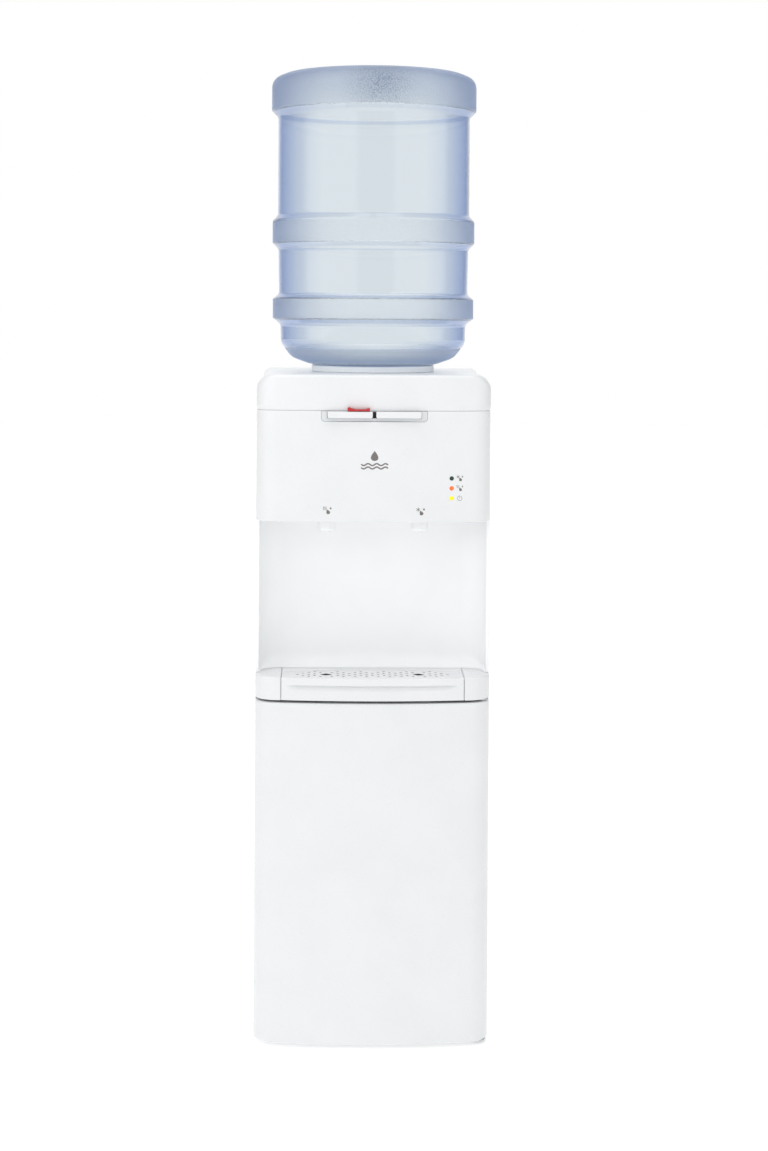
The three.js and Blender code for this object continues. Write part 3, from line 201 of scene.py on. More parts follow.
def linear(code):
    """sRGB hex to linear RGBA."""
    c = np.array([int(code[i:i + 2], 16) / 255 for i in (1, 3, 5)])
    c = np.where(c <= 0.04045, c / 12.92, ((c + 0.055) / 1.055) ** 2.4)
    return (*c.tolist(), 1.0)


def add(tree, kind, inputs=None, **settings):
    """One node of a kind, with its settings, and its inputs set to values or linked to sockets."""
    made = tree.nodes.new("ShaderNode" + kind)
    for key, value in settings.items():
        setattr(made, key, value)
    for key, value in (inputs or {}).items():
        if isinstance(value, bpy.types.NodeSocket):
            tree.links.new(value, made.inputs[key])
        else:
            made.inputs[key].default_value = value
    return made


def start(name):
    """A new material's tree, its object coordinates in millimetres and its principled shader."""
    material = bpy.data.materials.new(name)
    material.use_nodes = True
    tree = material.node_tree
    tree.nodes.clear()
    where = add(tree, "TexCoord")
    scaled = add(tree, "Mapping", {"Vector": where.outputs["Object"], "Scale": (1000, 1000, 1000)})
    shader = add(tree, "BsdfPrincipled")
    out = add(tree, "OutputMaterial")
    tree.links.new(shader.outputs[0], out.inputs["Surface"])
    return material, tree, scaled.outputs[0], shader


def noise(tree, at, grain, detail=2.0, roughness=0.5):
    """Noise whose blotches are about grain millimetres across."""
    return add(tree, "TexNoise", {"Vector": at, "Scale": 1 / grain, "Detail": detail,
                                  "Roughness": roughness}).outputs["Fac"]


def spread(tree, value, low, high, middle=(0.35, 0.65)):
    """Stretches a noise value from its usual middle to low..high."""
    return add(tree, "MapRange", {"Value": value, "From Min": middle[0], "From Max": middle[1],
                                  "To Min": low, "To Max": high}).outputs["Result"]


def two_tones(tree, factor, first, second):
    """Mix of two colours, each an sRGB code or a socket."""
    first, second = (linear(c) if isinstance(c, str) else c for c in (first, second))
    return add(tree, "Mix", {0: factor, 6: first, 7: second}, data_type="RGBA").outputs[2]


def product(tree, first, second):
    return add(tree, "Math", {0: first, 1: second}, operation="MULTIPLY").outputs[0]


def dress(tree, shader, **inputs):
    """Sets inputs of the shader, their names' spaces written as underscores."""
    for key, value in inputs.items():
        socket = shader.inputs[key.replace("_", " ")]
        if isinstance(value, bpy.types.NodeSocket):
            tree.links.new(value, socket)
        else:
            socket.default_value = value


def bump(tree, height, shader, depth, after=None):
    """Bump of so many millimetres from a 0 to 1 height, over an earlier bump if one is given."""
    inputs = {"Height": height, "Distance": depth * MM, "Strength": 1.0}
    if after is not None:
        inputs["Normal"] = after
    tree.links.new(add(tree, "Bump", inputs).outputs[0], shader.inputs["Normal"])


def moulded(name, hexes, rough, grain=1.4, depth=0.02, coat=0.0, sheen=0.0):
    """Moulded plastic. Two close tones drift over 60 mm as the melt flowed; a fine grain breaks
    the gloss and leaves soft, slightly wavy reflections."""
    material, tree, at, shader = start(name)
    drift = noise(tree, at, 60)
    fine = noise(tree, at, grain, 3)
    bump(tree, fine, shader, depth)
    dress(tree, shader, Base_Color=two_tones(tree, spread(tree, drift, 0, 1), *hexes),
          Roughness=spread(tree, fine, rough * 0.85, rough * 1.15), IOR=1.53, Coat_Weight=coat,
          Coat_Roughness=0.08, Sheen_Weight=sheen)
    return material


def light_table(name, tone, glow):
    """Matt diffusing sheet lit from below: it stays white and keeps a soft contact shadow."""
    material, tree, at, shader = start(name)
    fibre = noise(tree, at, 30)
    dress(tree, shader, Base_Color=linear(tone), Roughness=spread(tree, fibre, 0.88, 0.92), IOR=1.3,
          Emission_Color=(1, 1, 1, 1), Emission_Strength=glow)
    return material


def painted_sheet(name, hexes, rough=0.34):
    """Powder-coated steel: an even film with orange peel about 2.5 mm across."""
    material, tree, at, shader = start(name)
    peel = noise(tree, at, 2.5, 1)
    tone = noise(tree, at, 90)
    bump(tree, peel, shader, 0.05)
    dress(tree, shader, Base_Color=two_tones(tree, spread(tree, tone, 0, 1), *hexes), IOR=1.5,
          Roughness=spread(tree, noise(tree, at, 12), rough * 0.9, rough * 1.1))
    return material


def bare_metal(name, hexes, rough, stretch=(1, 1, 1), grain=1.0):
    """Bare metal with drawn or brushed lines: noise stretched along the way it was worked."""
    material, tree, at, shader = start(name)
    along = add(tree, "Mapping", {"Vector": at, "Scale": stretch}).outputs[0]
    lines = noise(tree, along, grain, 3, 0.6)
    patch = noise(tree, at, 40, 2)
    bump(tree, lines, shader, 0.01)
    dress(tree, shader, Base_Color=two_tones(tree, spread(tree, patch, 0, 1), *hexes), Metallic=1.0,
          Roughness=spread(tree, lines, rough * 0.7, rough * 1.3))
    return material


def spangled_zinc(name):
    """Galvanised sheet: crystals about 9 mm across, each with its own grey and gloss."""
    material, tree, at, shader = start(name)
    flat = add(tree, "Mapping", {"Vector": at, "Scale": (1, 0.02, 1)}).outputs[0]
    cell = add(tree, "TexVoronoi", {"Vector": flat, "Scale": 1 / 9})
    pick = add(tree, "SeparateColor", {"Color": cell.outputs["Color"]}).outputs[0]
    bump(tree, noise(tree, at, 1.2, 3), shader, 0.01)
    dress(tree, shader, Base_Color=two_tones(tree, pick, "#b6babd", "#cfd2d4"), Metallic=1.0,
          Roughness=spread(tree, pick, 0.3, 0.5, (0, 1)))
    return material


def bead_foam(name):
    """Expanded polystyrene: beads about 4 mm across with darker seams between them."""
    material, tree, at, shader = start(name)
    bead = add(tree, "TexVoronoi", {"Vector": at, "Scale": 1 / 4}, feature="DISTANCE_TO_EDGE")
    seam = spread(tree, bead.outputs["Distance"], 0, 1, (0.0, 0.12))
    bump(tree, seam, shader, 0.3)
    dress(tree, shader, Base_Color=two_tones(tree, seam, "#dcdad0", "#f5f4ee"), Roughness=0.9)
    return material


def lamp_lens(name, tone, glow):
    """Tinted acrylic lens over a lamp: a clear gloss, slightly clouded, with the lamp's own glow."""
    material, tree, at, shader = start(name)
    cloud = noise(tree, at, 1.5, 2)
    dress(tree, shader, Base_Color=linear(tone), Roughness=spread(tree, cloud, 0.1, 0.2), IOR=1.49,
          Emission_Color=linear(tone), Emission_Strength=glow)
    return material


def pierced_plate(name, tone, shade, top):
    """Satin moulding whose hole walls turn to a dark tone below its top: painted shade in the holes.
    """
    material, tree, at, shader = start(name)
    height = add(tree, "SeparateXYZ", {"Vector": at}).outputs["Z"]
    # Below the top the colour runs to the dark tone: painted shade on the hole walls.
    depth = add(tree, "MapRange", {"Value": height, "From Min": top - 0.2, "From Max": top - 0.6})
    fine = noise(tree, at, 0.9, 3)
    bump(tree, fine, shader, 0.02)
    dress(tree, shader, Base_Color=two_tones(tree, depth.outputs[0], tone, shade),
          Roughness=spread(tree, fine, 0.4, 0.5))
    return material


def printed_ink(name, tone):
    """Pad-printed ink: matt, thin, with a faint mesh of pinholes."""
    material, tree, at, shader = start(name)
    fine = noise(tree, at, 0.35, 2)
    bump(tree, fine, shader, 0.01)
    dress(tree, shader, Base_Color=two_tones(tree, spread(tree, fine, 0, 1), tone, "#77726f"),
          Roughness=0.55)
    return material


def bottle_plastic(name):
    """Blue-tinted polycarbonate, blow-moulded. The wall soaks up red, and more of it where the wall
    is seen at a slant, so rims and edges are deep blue and the middle is pale. The rings and the
    outer shoulder carry a pebbled mould texture about 1.2 mm across, which frosts them; between
    them the wall is smooth with long faint ripples. Darker flecks gather on the front of the
    uppermost ring. Its shadow is as light as thin plastic casts."""
    material, tree, at, shader = start(name)
    height = add(tree, "SeparateXYZ", {"Vector": at}).outputs["Z"]
    frost = None
    for low, high in PEBBLED:
        band = product(tree, spread(tree, height, 0, 1, (low - 0.6, low + 0.6)),
                       spread(tree, height, 1, 0, (high - 0.6, high + 0.6)))
        frost = band if frost is None else add(tree, "Math", {0: frost, 1: band},
                                               operation="MAXIMUM").outputs[0]
    pebble = add(tree, "TexVoronoi", {"Vector": at, "Scale": 1 / 1.2, "Smoothness": 0.5},
                 feature="SMOOTH_F1")
    upright = add(tree, "Mapping", {"Vector": at, "Scale": (1, 1, 0.2)}).outputs[0]
    first = add(tree, "Bump", {"Height": noise(tree, upright, 50, 1), "Distance": 0.3 * MM})
    bump(tree, product(tree, pebble.outputs["Distance"], frost), shader, 0.4, first.outputs[0])
    slant = add(tree, "LayerWeight", {"Blend": 0.5}).outputs["Facing"]
    rim = two_tones(tree, frost, "#5a8cdc", "#84b0fa")
    wall = two_tones(tree, spread(tree, slant, 0, 1, (0.16, 1.0)), "#f6fafc", rim)
    fleck = spread(tree, noise(tree, at, 1.3, 1), 0, 1, (0.46, 0.6))
    away = add(tree, "VectorMath", {0: at, 1: (6, BOTTLE_Y - 132, 1227)}, operation="DISTANCE")
    patch = spread(tree, away.outputs["Value"], 0.85, 0.06, (6, 55))
    amount = product(tree, product(tree, fleck, patch), frost)
    dress(tree, shader, Base_Color=two_tones(tree, amount, wall, "#5f7490"), IOR=1.5,
          Roughness=spread(tree, frost, 0.02, 0.34, (0, 1)), Transmission_Weight=1.0)
    soak = add(tree, "VolumeAbsorption", {"Color": linear("#9cc8f0"), "Density": 10.0})
    out = next(n for n in tree.nodes if n.bl_idname == "ShaderNodeOutputMaterial")
    tree.links.new(soak.outputs[0], out.inputs["Volume"])
    path = add(tree, "LightPath")
    clear = add(tree, "BsdfTransparent", {"Color": linear("#fbfdfe")})
    mix = add(tree, "MixShader", {0: path.outputs["Is Shadow Ray"], 1: shader.outputs[0],
                                  2: clear.outputs[0]})
    tree.links.new(mix.outputs[0], out.inputs["Surface"])
    return material


# ---- Surfaces ----


def smooth(mesh):
    """Smooth shading but for the edges where faces meet at more than SMOOTH_BELOW."""
    mesh.polygons.foreach_set("use_smooth", [True] * len(mesh.polygons))
    mesh.set_sharp_from_angle(angle=SMOOTH_BELOW)


def cleaned(mesh, weld=0.0, melt=0.0):
    """Welds points closer than weld, dissolves edges shorter than melt, and turns faces outward."""
    work = bmesh.new()
    work.from_mesh(mesh)
    if weld:
        bmesh.ops.remove_doubles(work, verts=work.verts, dist=weld * MM)
    if melt:
        bmesh.ops.dissolve_degenerate(work, edges=work.edges, dist=melt * MM)
    bmesh.ops.recalc_face_normals(work, faces=work.faces)
    work.to_mesh(mesh)
    work.free()
    smooth(mesh)


def evaluated(piece):
    """The mesh that a curve's settings or a piece's modifiers give."""
    bpy.context.view_layer.update()
    shaped = piece.evaluated_get(bpy.context.evaluated_depsgraph_get())
    return bpy.data.meshes.new_from_object(shaped)


def reshaped(piece, change):
    """Moves a piece's points by a function that takes and gives them as an array in millimetres."""
    co = np.empty(len(piece.data.vertices) * 3)
    piece.data.vertices.foreach_get("co", co)
    piece.data.vertices.foreach_set("co", (change(co.reshape(-1, 3) / MM) * MM).ravel())
    return piece


def quads(rows, columns, wrap_u=False, wrap_v=False):
    """Faces of a grid of rows by columns, joined round where it wraps."""
    i, j = np.meshgrid(np.arange(rows - (not wrap_u)), np.arange(columns - (not wrap_v)),
                       indexing="ij")
    i, j = i.ravel(), j.ravel()
    i2, j2 = (i + 1) % rows, (j + 1) % columns
    return np.stack([i * columns + j, i2 * columns + j, i2 * columns + j2, i * columns + j2],
                    axis=1).tolist()


def sheet_of(name, grid, wrap_u=False, wrap_v=False, ends=False, seal=True):
    """The surface through a grid of points. With ends, flats close its first and last rows."""
    rows, columns = grid.shape[:2]
    faces = quads(rows, columns, wrap_u, wrap_v)
    if ends:
        faces.append(list(range(columns))[::-1])
        faces.append([(rows - 1) * columns + j for j in range(columns)])
    mesh = bpy.data.meshes.new(name)
    mesh.from_pydata((grid.reshape(-1, 3) * MM).tolist(), [], faces)
    made = placed(name, mesh)
    cleaned(mesh, *((0.002, 0.001) if seal else ()))
    return made


def rectangle(a0, a1, b0, b1, radii, steps):
    """A rectangle with rounded corners: one radius, or those of the lower and the upper pair."""
    lower, upper = (radii, radii) if np.isscalar(radii) else radii
    return outline([(a0, b0, lower), (a1, b0, lower), (a1, b1, upper), (a0, b1, upper)], steps)


GUARD = 0.35  # from a rounded corner's end to the point that keeps the next flat flat


def outline(points, steps=5):
    """A polyline whose corners are rounded: each point is (a, b, radius). A corner becomes an arc
    touching both sides, with a guard point just past each end."""
    pts = np.array([p[:2] for p in points], float)
    made = []
    count = len(pts)
    for k, (_, _, radius) in enumerate(points):
        here = pts[k]
        back, ahead = pts[k - 1] - here, pts[(k + 1) % count] - here
        b, a = back / np.linalg.norm(back), ahead / np.linalg.norm(ahead)
        half = np.arccos(np.clip(a @ b, -1, 1)) / 2
        if radius <= 0 or half > pi / 2 - 0.01:
            made.append(here)
            continue
        reach = min(radius / np.tan(half), 0.48 * min(np.linalg.norm(back), np.linalg.norm(ahead)))
        radius = reach * np.tan(half)
        centre = here + (a + b) / np.linalg.norm(a + b) * radius / np.sin(half)
        first, last = here + b * reach, here + a * reach
        u, v = first - centre, last - centre
        sweep = np.arccos(np.clip(u @ v / (radius * radius), -1, 1))
        t = np.linspace(0, 1, steps + 1)[:, None]
        arc = centre + (np.sin((1 - t) * sweep) * u + np.sin(t * sweep) * v) / np.sin(sweep)
        past = min(GUARD, reach * 0.5)
        made += [first + b * past, *arc, last + a * past]
    return np.array(made)


def turned(name, profile, x=0.0, y=0.0, segments=96, along="Z"):
    """A closed radius and height profile turned about an axis through x, y; along Y, the height
    runs along Y and x, y are the axis's X and Z."""
    angle = np.linspace(0, 2 * pi, segments + 1)[:-1]
    r, z = np.maximum(profile[:, 0], 0), profile[:, 1]
    first, second = np.outer(r, np.cos(angle)), np.outer(r, np.sin(angle))
    level = np.repeat(z[:, None], segments, axis=1)
    parts = [x + first, y + second, level] if along == "Z" else [x + first, level, y + second]
    return sheet_of(name, np.stack(parts, axis=-1), wrap_u=True, wrap_v=True)


def body_path(rear, closed=False, rear_round=0.0):
    """Body outline in plan from the left rear round the front to the right rear, and its inward
    normals: straight sides, corner arcs that touch side and bow, and the bow's large arc. Closed,
    it comes back along a straight rear with small rounded corners."""
    xc = HALF - CORNER
    yc = FRONT + BOW - np.sqrt((BOW - CORNER) ** 2 - xc ** 2)
    lean = np.arctan2(xc, FRONT + BOW - yc)
    stretches = []

    def arc(cx, cy, radius, start_angle, end_angle, steps):
        a = np.linspace(start_angle, end_angle, steps)
        away = np.stack([np.cos(a), np.sin(a)], axis=1)
        stretches.append((np.array([cx, cy]) + radius * away, -away))

    def straight(x, y0, y1, steps, inward):
        y = np.linspace(y0, y1, steps)
        side = np.stack([np.full(steps, x), y], axis=1)
        stretches.append((side, np.tile([inward, 0.0], (steps, 1))))

    side_rear = rear - rear_round
    straight(-HALF, side_rear, yc + 0.5, 8, 1.0)
    arc(-xc, yc, CORNER, pi, 1.5 * pi - lean, 16)
    arc(0, FRONT + BOW, BOW, 1.5 * pi - lean, 1.5 * pi + lean, 90)
    arc(xc, yc, CORNER, 1.5 * pi + lean, 2 * pi, 16)
    straight(HALF, yc + 0.5, side_rear, 8, -1.0)
    if closed:
        r = rear_round
        arc(HALF - r, rear - r, r, 0, pi / 2, 8)
        x = np.linspace(HALF - r - 0.5, -HALF + r + 0.5, 24)
        stretches.append((np.stack([x, np.full(24, rear)], axis=1), np.tile([0.0, -1.0], (24, 1))))
        arc(-HALF + r, rear - r, r, pi / 2, pi, 8)
    points = np.concatenate([s[0] for s in stretches])
    normals = np.concatenate([s[1] for s in stretches])
    keep = np.r_[True, np.linalg.norm(np.diff(points, axis=0), axis=1) > 1e-3]
    return points[keep], normals[keep]


def bow_y(x, inset=0.0):
    """Y of the bowed front at x."""
    return FRONT + BOW - np.sqrt((BOW - inset) ** 2 - np.asarray(x, float) ** 2)


def swept(name, profile, points, normals):
    """A closed wall section (inset, z) carried along a plan path: each path point moves inwards by
    the section's inset and up to its z."""
    at = points[:, None, :] + normals[:, None, :] * profile[None, :, :1]
    z = np.repeat(profile[None, :, 1], len(points), axis=0)
    grid = np.concatenate([at, z[..., None]], axis=-1)
    return sheet_of(name, grid, wrap_v=True, ends=True)


def slab(name, shape, low, high, axis="Z", bevel=0.6, segments=3, holes=()):
    """A flat outline with thickness: a filled 2D curve, extruded and edge-rounded, turned so that
    its thickness lies along the axis. Its outline is (x, y) for Z, (x, z) for Y, (y, z) for X."""
    curve = bpy.data.curves.new(name, "CURVE")
    curve.dimensions = "2D"
    curve.fill_mode = "BOTH"
    curve.extrude = ((high - low) / 2 - bevel) * MM
    curve.bevel_depth = bevel * MM
    curve.bevel_resolution = segments
    curve.offset = -bevel * MM
    for ring in (shape, *holes):
        spline = curve.splines.new("POLY")
        spline.points.add(len(ring) - 1)
        flat = np.concatenate([np.asarray(ring) * MM, np.zeros((len(ring), 1)),
                               np.ones((len(ring), 1))], axis=1)
        spline.points.foreach_set("co", flat.ravel())
        spline.use_cyclic_u = True
    maker = placed(name + "_maker", curve)
    mesh = evaluated(maker)
    bpy.data.objects.remove(maker)
    made = placed(name, mesh)
    middle = (low + high) / 2 * MM
    turn = {"Z": Matrix.Translation((0, 0, middle)),
            "Y": Matrix.Translation((0, middle, 0)) @ Matrix.Rotation(pi / 2, 4, "X"),
            "X": Matrix.Translation((middle, 0, 0)) @ Matrix(((0, 0, 1, 0), (1, 0, 0, 0),
                                                             (0, 1, 0, 0), (0, 0, 0, 1)))}[axis]
    mesh.transform(turn)
    cleaned(mesh, 0.001)
    crease_round_flats(mesh, "XYZ".index(axis))
    return made


def crease_round_flats(mesh, axis):
    """A slight crease between faces square to the axis and their neighbours, so flats shade flat."""
    normal = np.empty(len(mesh.polygons) * 3)
    mesh.polygons.foreach_get("normal", normal)
    flat = np.abs(normal.reshape(-1, 3)[:, axis]) > 0.9999
    sides = np.empty(len(mesh.polygons), int)
    mesh.polygons.foreach_get("loop_total", sides)
    edge = np.empty(len(mesh.loops), int)
    mesh.loops.foreach_get("edge_index", edge)
    touching = np.bincount(edge, np.repeat(flat, sides), len(mesh.edges))
    sharp = mesh.attributes.get("sharp_edge") or mesh.attributes.new("sharp_edge", "BOOLEAN", "EDGE")
    was = np.empty(len(mesh.edges), bool)
    sharp.data.foreach_get("value", was)
    sharp.data.foreach_set("value", was | (touching == 1))


def block(name, x0, x1, y0, y1, z0, z1, edge=0.8):
    """A box with rounded edges, as a rounded outline with thickness along its shortest side."""
    sizes = {"X": x1 - x0, "Y": y1 - y0, "Z": z1 - z0}
    axis = min(sizes, key=sizes.get)
    spans = {"X": ((y0, y1), (z0, z1), (x0, x1)), "Y": ((x0, x1), (z0, z1), (y0, y1)),
             "Z": ((x0, x1), (y0, y1), (z0, z1))}[axis]
    (a0, a1), (b0, b1), (c0, c1) = spans
    ring = rectangle(a0, a1, b0, b1, edge, 4)
    return slab(name, ring, c0, c1, axis, min(edge, (c1 - c0) / 2.5))


def piped(name, route, radius, steps=120, sides=16):
    """A round tube along a smooth curve through the route's points: Catmull-Rom between points,
    with a frame kept from twisting by projecting one fixed direction."""
    p = np.array(route, float)
    p = np.concatenate([[2 * p[0] - p[1]], p, [2 * p[-1] - p[-2]]])
    count = len(route) - 1
    s = np.linspace(0, count - 1e-6, steps)
    k = s.astype(int)
    t = (s - k)[:, None]
    a, b, c, d = p[k], p[k + 1], p[k + 2], p[k + 3]
    line = 0.5 * (2 * b + (c - a) * t + (2 * a - 5 * b + 4 * c - d) * t ** 2
                  + (3 * b - a - 3 * c + d) * t ** 3)
    return round_section(name, line, radius, sides)


def round_section(name, line, radius, sides=16):
    """A round section carried along a line of points, closed at both ends."""
    way = np.gradient(line, axis=0)
    way /= np.linalg.norm(way, axis=1)[:, None]
    across = np.empty_like(way)
    current = np.cross(way[0], [0.31, 0.83, 0.47])
    for i, w in enumerate(way):  # carried along so that the section never twists
        current = current - (current @ w) * w
        current /= np.linalg.norm(current)
        across[i] = current
    up = np.cross(way, across)
    a = np.linspace(0, 2 * pi, sides + 1)[:-1]
    grid = (line[:, None, :] + radius * (np.cos(a)[None, :, None] * across[:, None, :]
                                         + np.sin(a)[None, :, None] * up[:, None, :]))
    return sheet_of(name, grid, wrap_v=True, ends=True, seal=False)


def merged(name, pieces):
    """Several meshes as one object."""
    work = bmesh.new()
    for piece in pieces:
        work.from_mesh(piece.data)
    mesh = bpy.data.meshes.new(name)
    work.to_mesh(mesh)
    work.free()
    for piece in pieces:
        bpy.data.objects.remove(piece)
    return placed(name, mesh)


def carved(piece, tools, how="DIFFERENCE"):
    """The piece with the tools cut from it or joined to it; the tools are used up."""
    for tool in tools:
        cutter = piece.modifiers.new("carve", "BOOLEAN")
        cutter.operation = how
        cutter.solver = "EXACT"
        cutter.object = tool
    mesh = evaluated(piece)
    piece.modifiers.clear()
    piece.data = mesh
    for tool in tools:
        bpy.data.objects.remove(tool)
    smooth(mesh)
    return piece


def fit(piece, material, *nodes, body=None, slot=None):
    """Gives the piece its material and has it stand for CAD nodes, moving as they do."""
    piece.data.materials.clear()
    piece.data.materials.append(material)
    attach(piece, body or BODY_OF[nodes[0]])
    if nodes:
        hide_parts(*nodes)
    return piece


# ---- Finishes ----

PEBBLED = [(1200, 1260), (1025, 1053), (925, 951), (866, 886)]  # bottle heights with mould texture

make_camera()
make_light()

white = moulded("gloss_abs_white", ("#e4e5e7", "#e1e3e4"), 0.32, coat=0.1)
# Lighter than the gloss white: painted fill light that offsets the shade on the parts it dresses, the
# alcove and its ceiling, the bottle's collar and the base pan.
satin_white_painted_fill = moulded("satin_abs_white_painted_fill", ("#f6f7f8", "#f4f5f6"), 0.42)
white_steel = painted_sheet("powder_coat_white", ("#e6e7e9", "#e3e4e6"))
liner_white = moulded("vacuum_formed_white", ("#e6e8ea", "#e1e3e6"), 0.5, grain=2.2, depth=0.05)
# The dark second tone is painted shade on the walls of the grille's holes.
grille_grey = pierced_plate("satin_plastic_light_grey", "#e2e3e5", "#303234", grille_high[2])
bezel_grey = moulded("satin_plastic_grey", ("#dadcde", "#d5d8da"), 0.42, grain=0.9)
dark = moulded("moulded_plastic_black", ("#1c1d20", "#232528"), 0.45, grain=0.8, depth=0.04)
rubber = moulded("moulded_rubber_black", ("#17181a", "#1e1f21"), 0.75, grain=0.9, depth=0.06)
polythene = moulded("translucent_polyethylene", ("#f4f5f5", "#eef0f0"), 0.4, grain=3, sheen=0.1)
silicone = moulded("drawn_silicone_hose", ("#e3e6e5", "#dadfde"), 0.5, grain=2)
red = moulded("gloss_plastic_red", ("#b5181b", "#c42226"), 0.26, grain=0.8, coat=0.3)
green = moulded("gloss_plastic_green", ("#1d7a46", "#22844d"), 0.28, grain=0.8)
board = moulded("solder_mask_green", ("#1f6a35", "#2a7a40"), 0.3, grain=6, depth=0.05)
zinc = spangled_zinc("galvanised_sheet")
plated = bare_metal("zinc_plated_steel", ("#c3c6c8", "#b4b8bb"), 0.3)
brushed = bare_metal("brushed_stainless", ("#c9cbcc", "#bdc0c2"), 0.28, (1, 1, 12), 1.5)
copper = bare_metal("drawn_copper", ("#b8754a", "#a8643c"), 0.3, (0.3, 0.3, 0.3), 1.0)
enamel = painted_sheet("black_enamel", ("#141517", "#1b1c1e"), 0.38)
foam = bead_foam("bead_foam_white")
clear_blue = bottle_plastic("blown_polycarbonate_blue")
ink = printed_ink("printed_ink_warm_grey", "#6c6663")
lens_green = lamp_lens("lens_acrylic_green", "#143a28", 0.0)
lens_orange = lamp_lens("lens_acrylic_orange", "#ff5a1f", 0.9)
lens_yellow = lamp_lens("lens_acrylic_yellow", "#ffe11f", 0.7)


# ---- Bottle, its cap, seat and probe ----


def make_bottle():
    """Blow-moulded shell turned from its outline; the inner wall follows 1.6 mm inside."""
    top = bottle_high[2] - 4.5
    outer = [(0, top, 0), (116, top, 24), (136, top - 8, 22), (136, top - 49.5, 4),
             (127.5, top - 57.5, 7), (127.5, 1062, 7), (134.3, 1054.5, 3), (134.3, 1024.5, 3),
             (126.6, 1017, 7),
             (125.6, 958, 7), (133.5, 951, 3), (133.5, 925.5, 3), (123.4, 917, 7), (122.7, 893, 16),
             (108, 873.5, 26), (76, 862.2, 30), (50, 846, 20), (32, 826, 14), (27.5, 812, 6),
             (27.5, bottle_low[2], 0.4)]
    line = outline(outer, 7)
    line[0] = (0, top)
    step = np.gradient(line, axis=0)
    step /= np.maximum(np.linalg.norm(step, axis=1), 1e-9)[:, None]
    inward = np.stack([step[:, 1], -step[:, 0]], axis=1)
    inner = line + inward * 1.6
    inner[0] = (0, top - 1.6)
    inner[-1] = (25.9, bottle_low[2])
    shell = turned("water_bottle", np.concatenate([line, inner[::-1]]), 0, BOTTLE_Y, 144)
    fit(shell, clear_blue, "bottle")
    low, high = corners("bottle_cap")
    r = high[0]
    cap = outline([(11, low[2], 0.5), (r, low[2], 1.4), (r, high[2] - 7, 0.5),
                   (r - 0.8, high[2] - 6, 0.3), (r - 0.8, high[2], 0.5), (27.8, high[2], 0.4),
                   (27.8, low[2] + 2.2, 0.4), (11, low[2] + 2.2, 0.4)])
    fit(turned("bottle_snap_cap", cap, 0, BOTTLE_Y), polythene, "bottle_cap")


def make_seat():
    """Moulded ring with a rounded rim and a funnel down to the probe, turned in one piece."""
    low, high = seat_low[2], seat_high[2]
    r = seat_high[0]
    funnel = [(33, 812), (40, 826), (54, 840), (77, 856)]
    inner = [(10.5, low + 3, 0.5), (33.7, low + 3, 3), *[(a, b, 5) for a, b in funnel]]
    rim = [(78.5, high, 2.5), (r, high, 3.4), (r, BODY_TOP + 0.3, 0.3)]
    under = [(74.5, BODY_TOP + 0.3, 0.3), (74.5, BODY_TOP - 5, 0.8), (56, 835, 5), (41.5, 821, 5),
             (36.2, 808, 4), (36.2, low, 1), (10.5, low, 0.4)]
    collar = turned("bottle_collar", outline(inner + rim + under), 0, BOTTLE_Y)
    fit(collar, satin_white_painted_fill, "bottle_seat")
    low, high = corners("probe")
    spike = outline([(4.5, low[2], 0.4), (8.5, low[2], 0.6), (8.5, 751.7, 0.3), (10.1, 751.7, 0.3),
                     (10.1, 753, 0.3), (8.5, 756, 1), (8.5, high[2] - 10, 3), (4.5, high[2], 0.5)])
    fit(turned("feed_probe", spike, 0, BOTTLE_Y, 48), polythene, "probe")


# ---- Top cap, fascia and the parts on it ----


ROLL_IN, ROLL_UP = 2.4, 6.5  # how far the cap's lower edge turns in, and over what height


def make_cap():
    """Cover whose edge rolls in below, rises as a wall and turns over the top: the turn's radius
    grows smoothly from 4 mm at the bowed front and the rear to 20 mm along the sides, and eases to
    11.5 mm over the last 60 mm before the rear corners. The top then runs level to the round hole
    under the bottle's collar, and the inside follows 2.5 mm within."""
    points, normals = body_path(REAR, closed=True, rear_round=12)
    ahead = np.clip((REAR - 12 - points[:, 1]) / 60, 0, 1)
    turn = 4 + (7.5 + 8.5 * ahead) * np.abs(normals[:, 0]) ** 1.6
    low = cap_low[2]
    hole = 75.6
    away = points + normals * turn[:, None] - np.array([0, BOTTLE_Y])
    heading = away / np.linalg.norm(away, axis=1)[:, None]
    rim = np.array([0, BOTTLE_Y]) + heading * hole
    rings = []

    def ring(inset, z):
        at = points + normals * np.broadcast_to(inset, turn.shape)[:, None]
        rings.append(np.concatenate([at, np.broadcast_to(z, turn.shape)[:, None]], axis=1))

    def level(share, inset, z):
        edge = points + normals * np.broadcast_to(inset, turn.shape)[:, None]
        at = edge + (rim - edge) * share
        rings.append(np.concatenate([at, np.full((len(at), 1), z)], axis=1))

    for a in np.linspace(pi / 2, 0, 9):  # edge rolled in below
        ring(ROLL_IN - ROLL_IN * cos(a), low + ROLL_UP - ROLL_UP * sin(a))
    ring(0, low + ROLL_UP + 0.6)
    ring(0, BODY_TOP - turn - 0.5)
    for a in np.linspace(0, pi / 2, 12):
        ring(turn * (1 - cos(a)), BODY_TOP - turn * (1 - sin(a)))
    for share in (0.01, 0.2, 0.5, 0.8, 0.97, 1.0):
        level(share, turn, BODY_TOP)
    for share in (1.0, 0.5, 0.02):
        level(share, turn + 0.3, BODY_TOP - WALL)
    for a in np.linspace(pi / 2, 0, 6):
        ring(WALL + np.maximum(turn - WALL, 0.5) * (1 - cos(a)),
             BODY_TOP - WALL - np.maximum(turn - WALL, 0.5) * (1 - sin(a)))
    ring(ROLL_IN + 0.3, low)
    piece = sheet_of("top_cover", np.stack(rings), wrap_u=True, wrap_v=True)
    fit(piece, white, "top_cap")


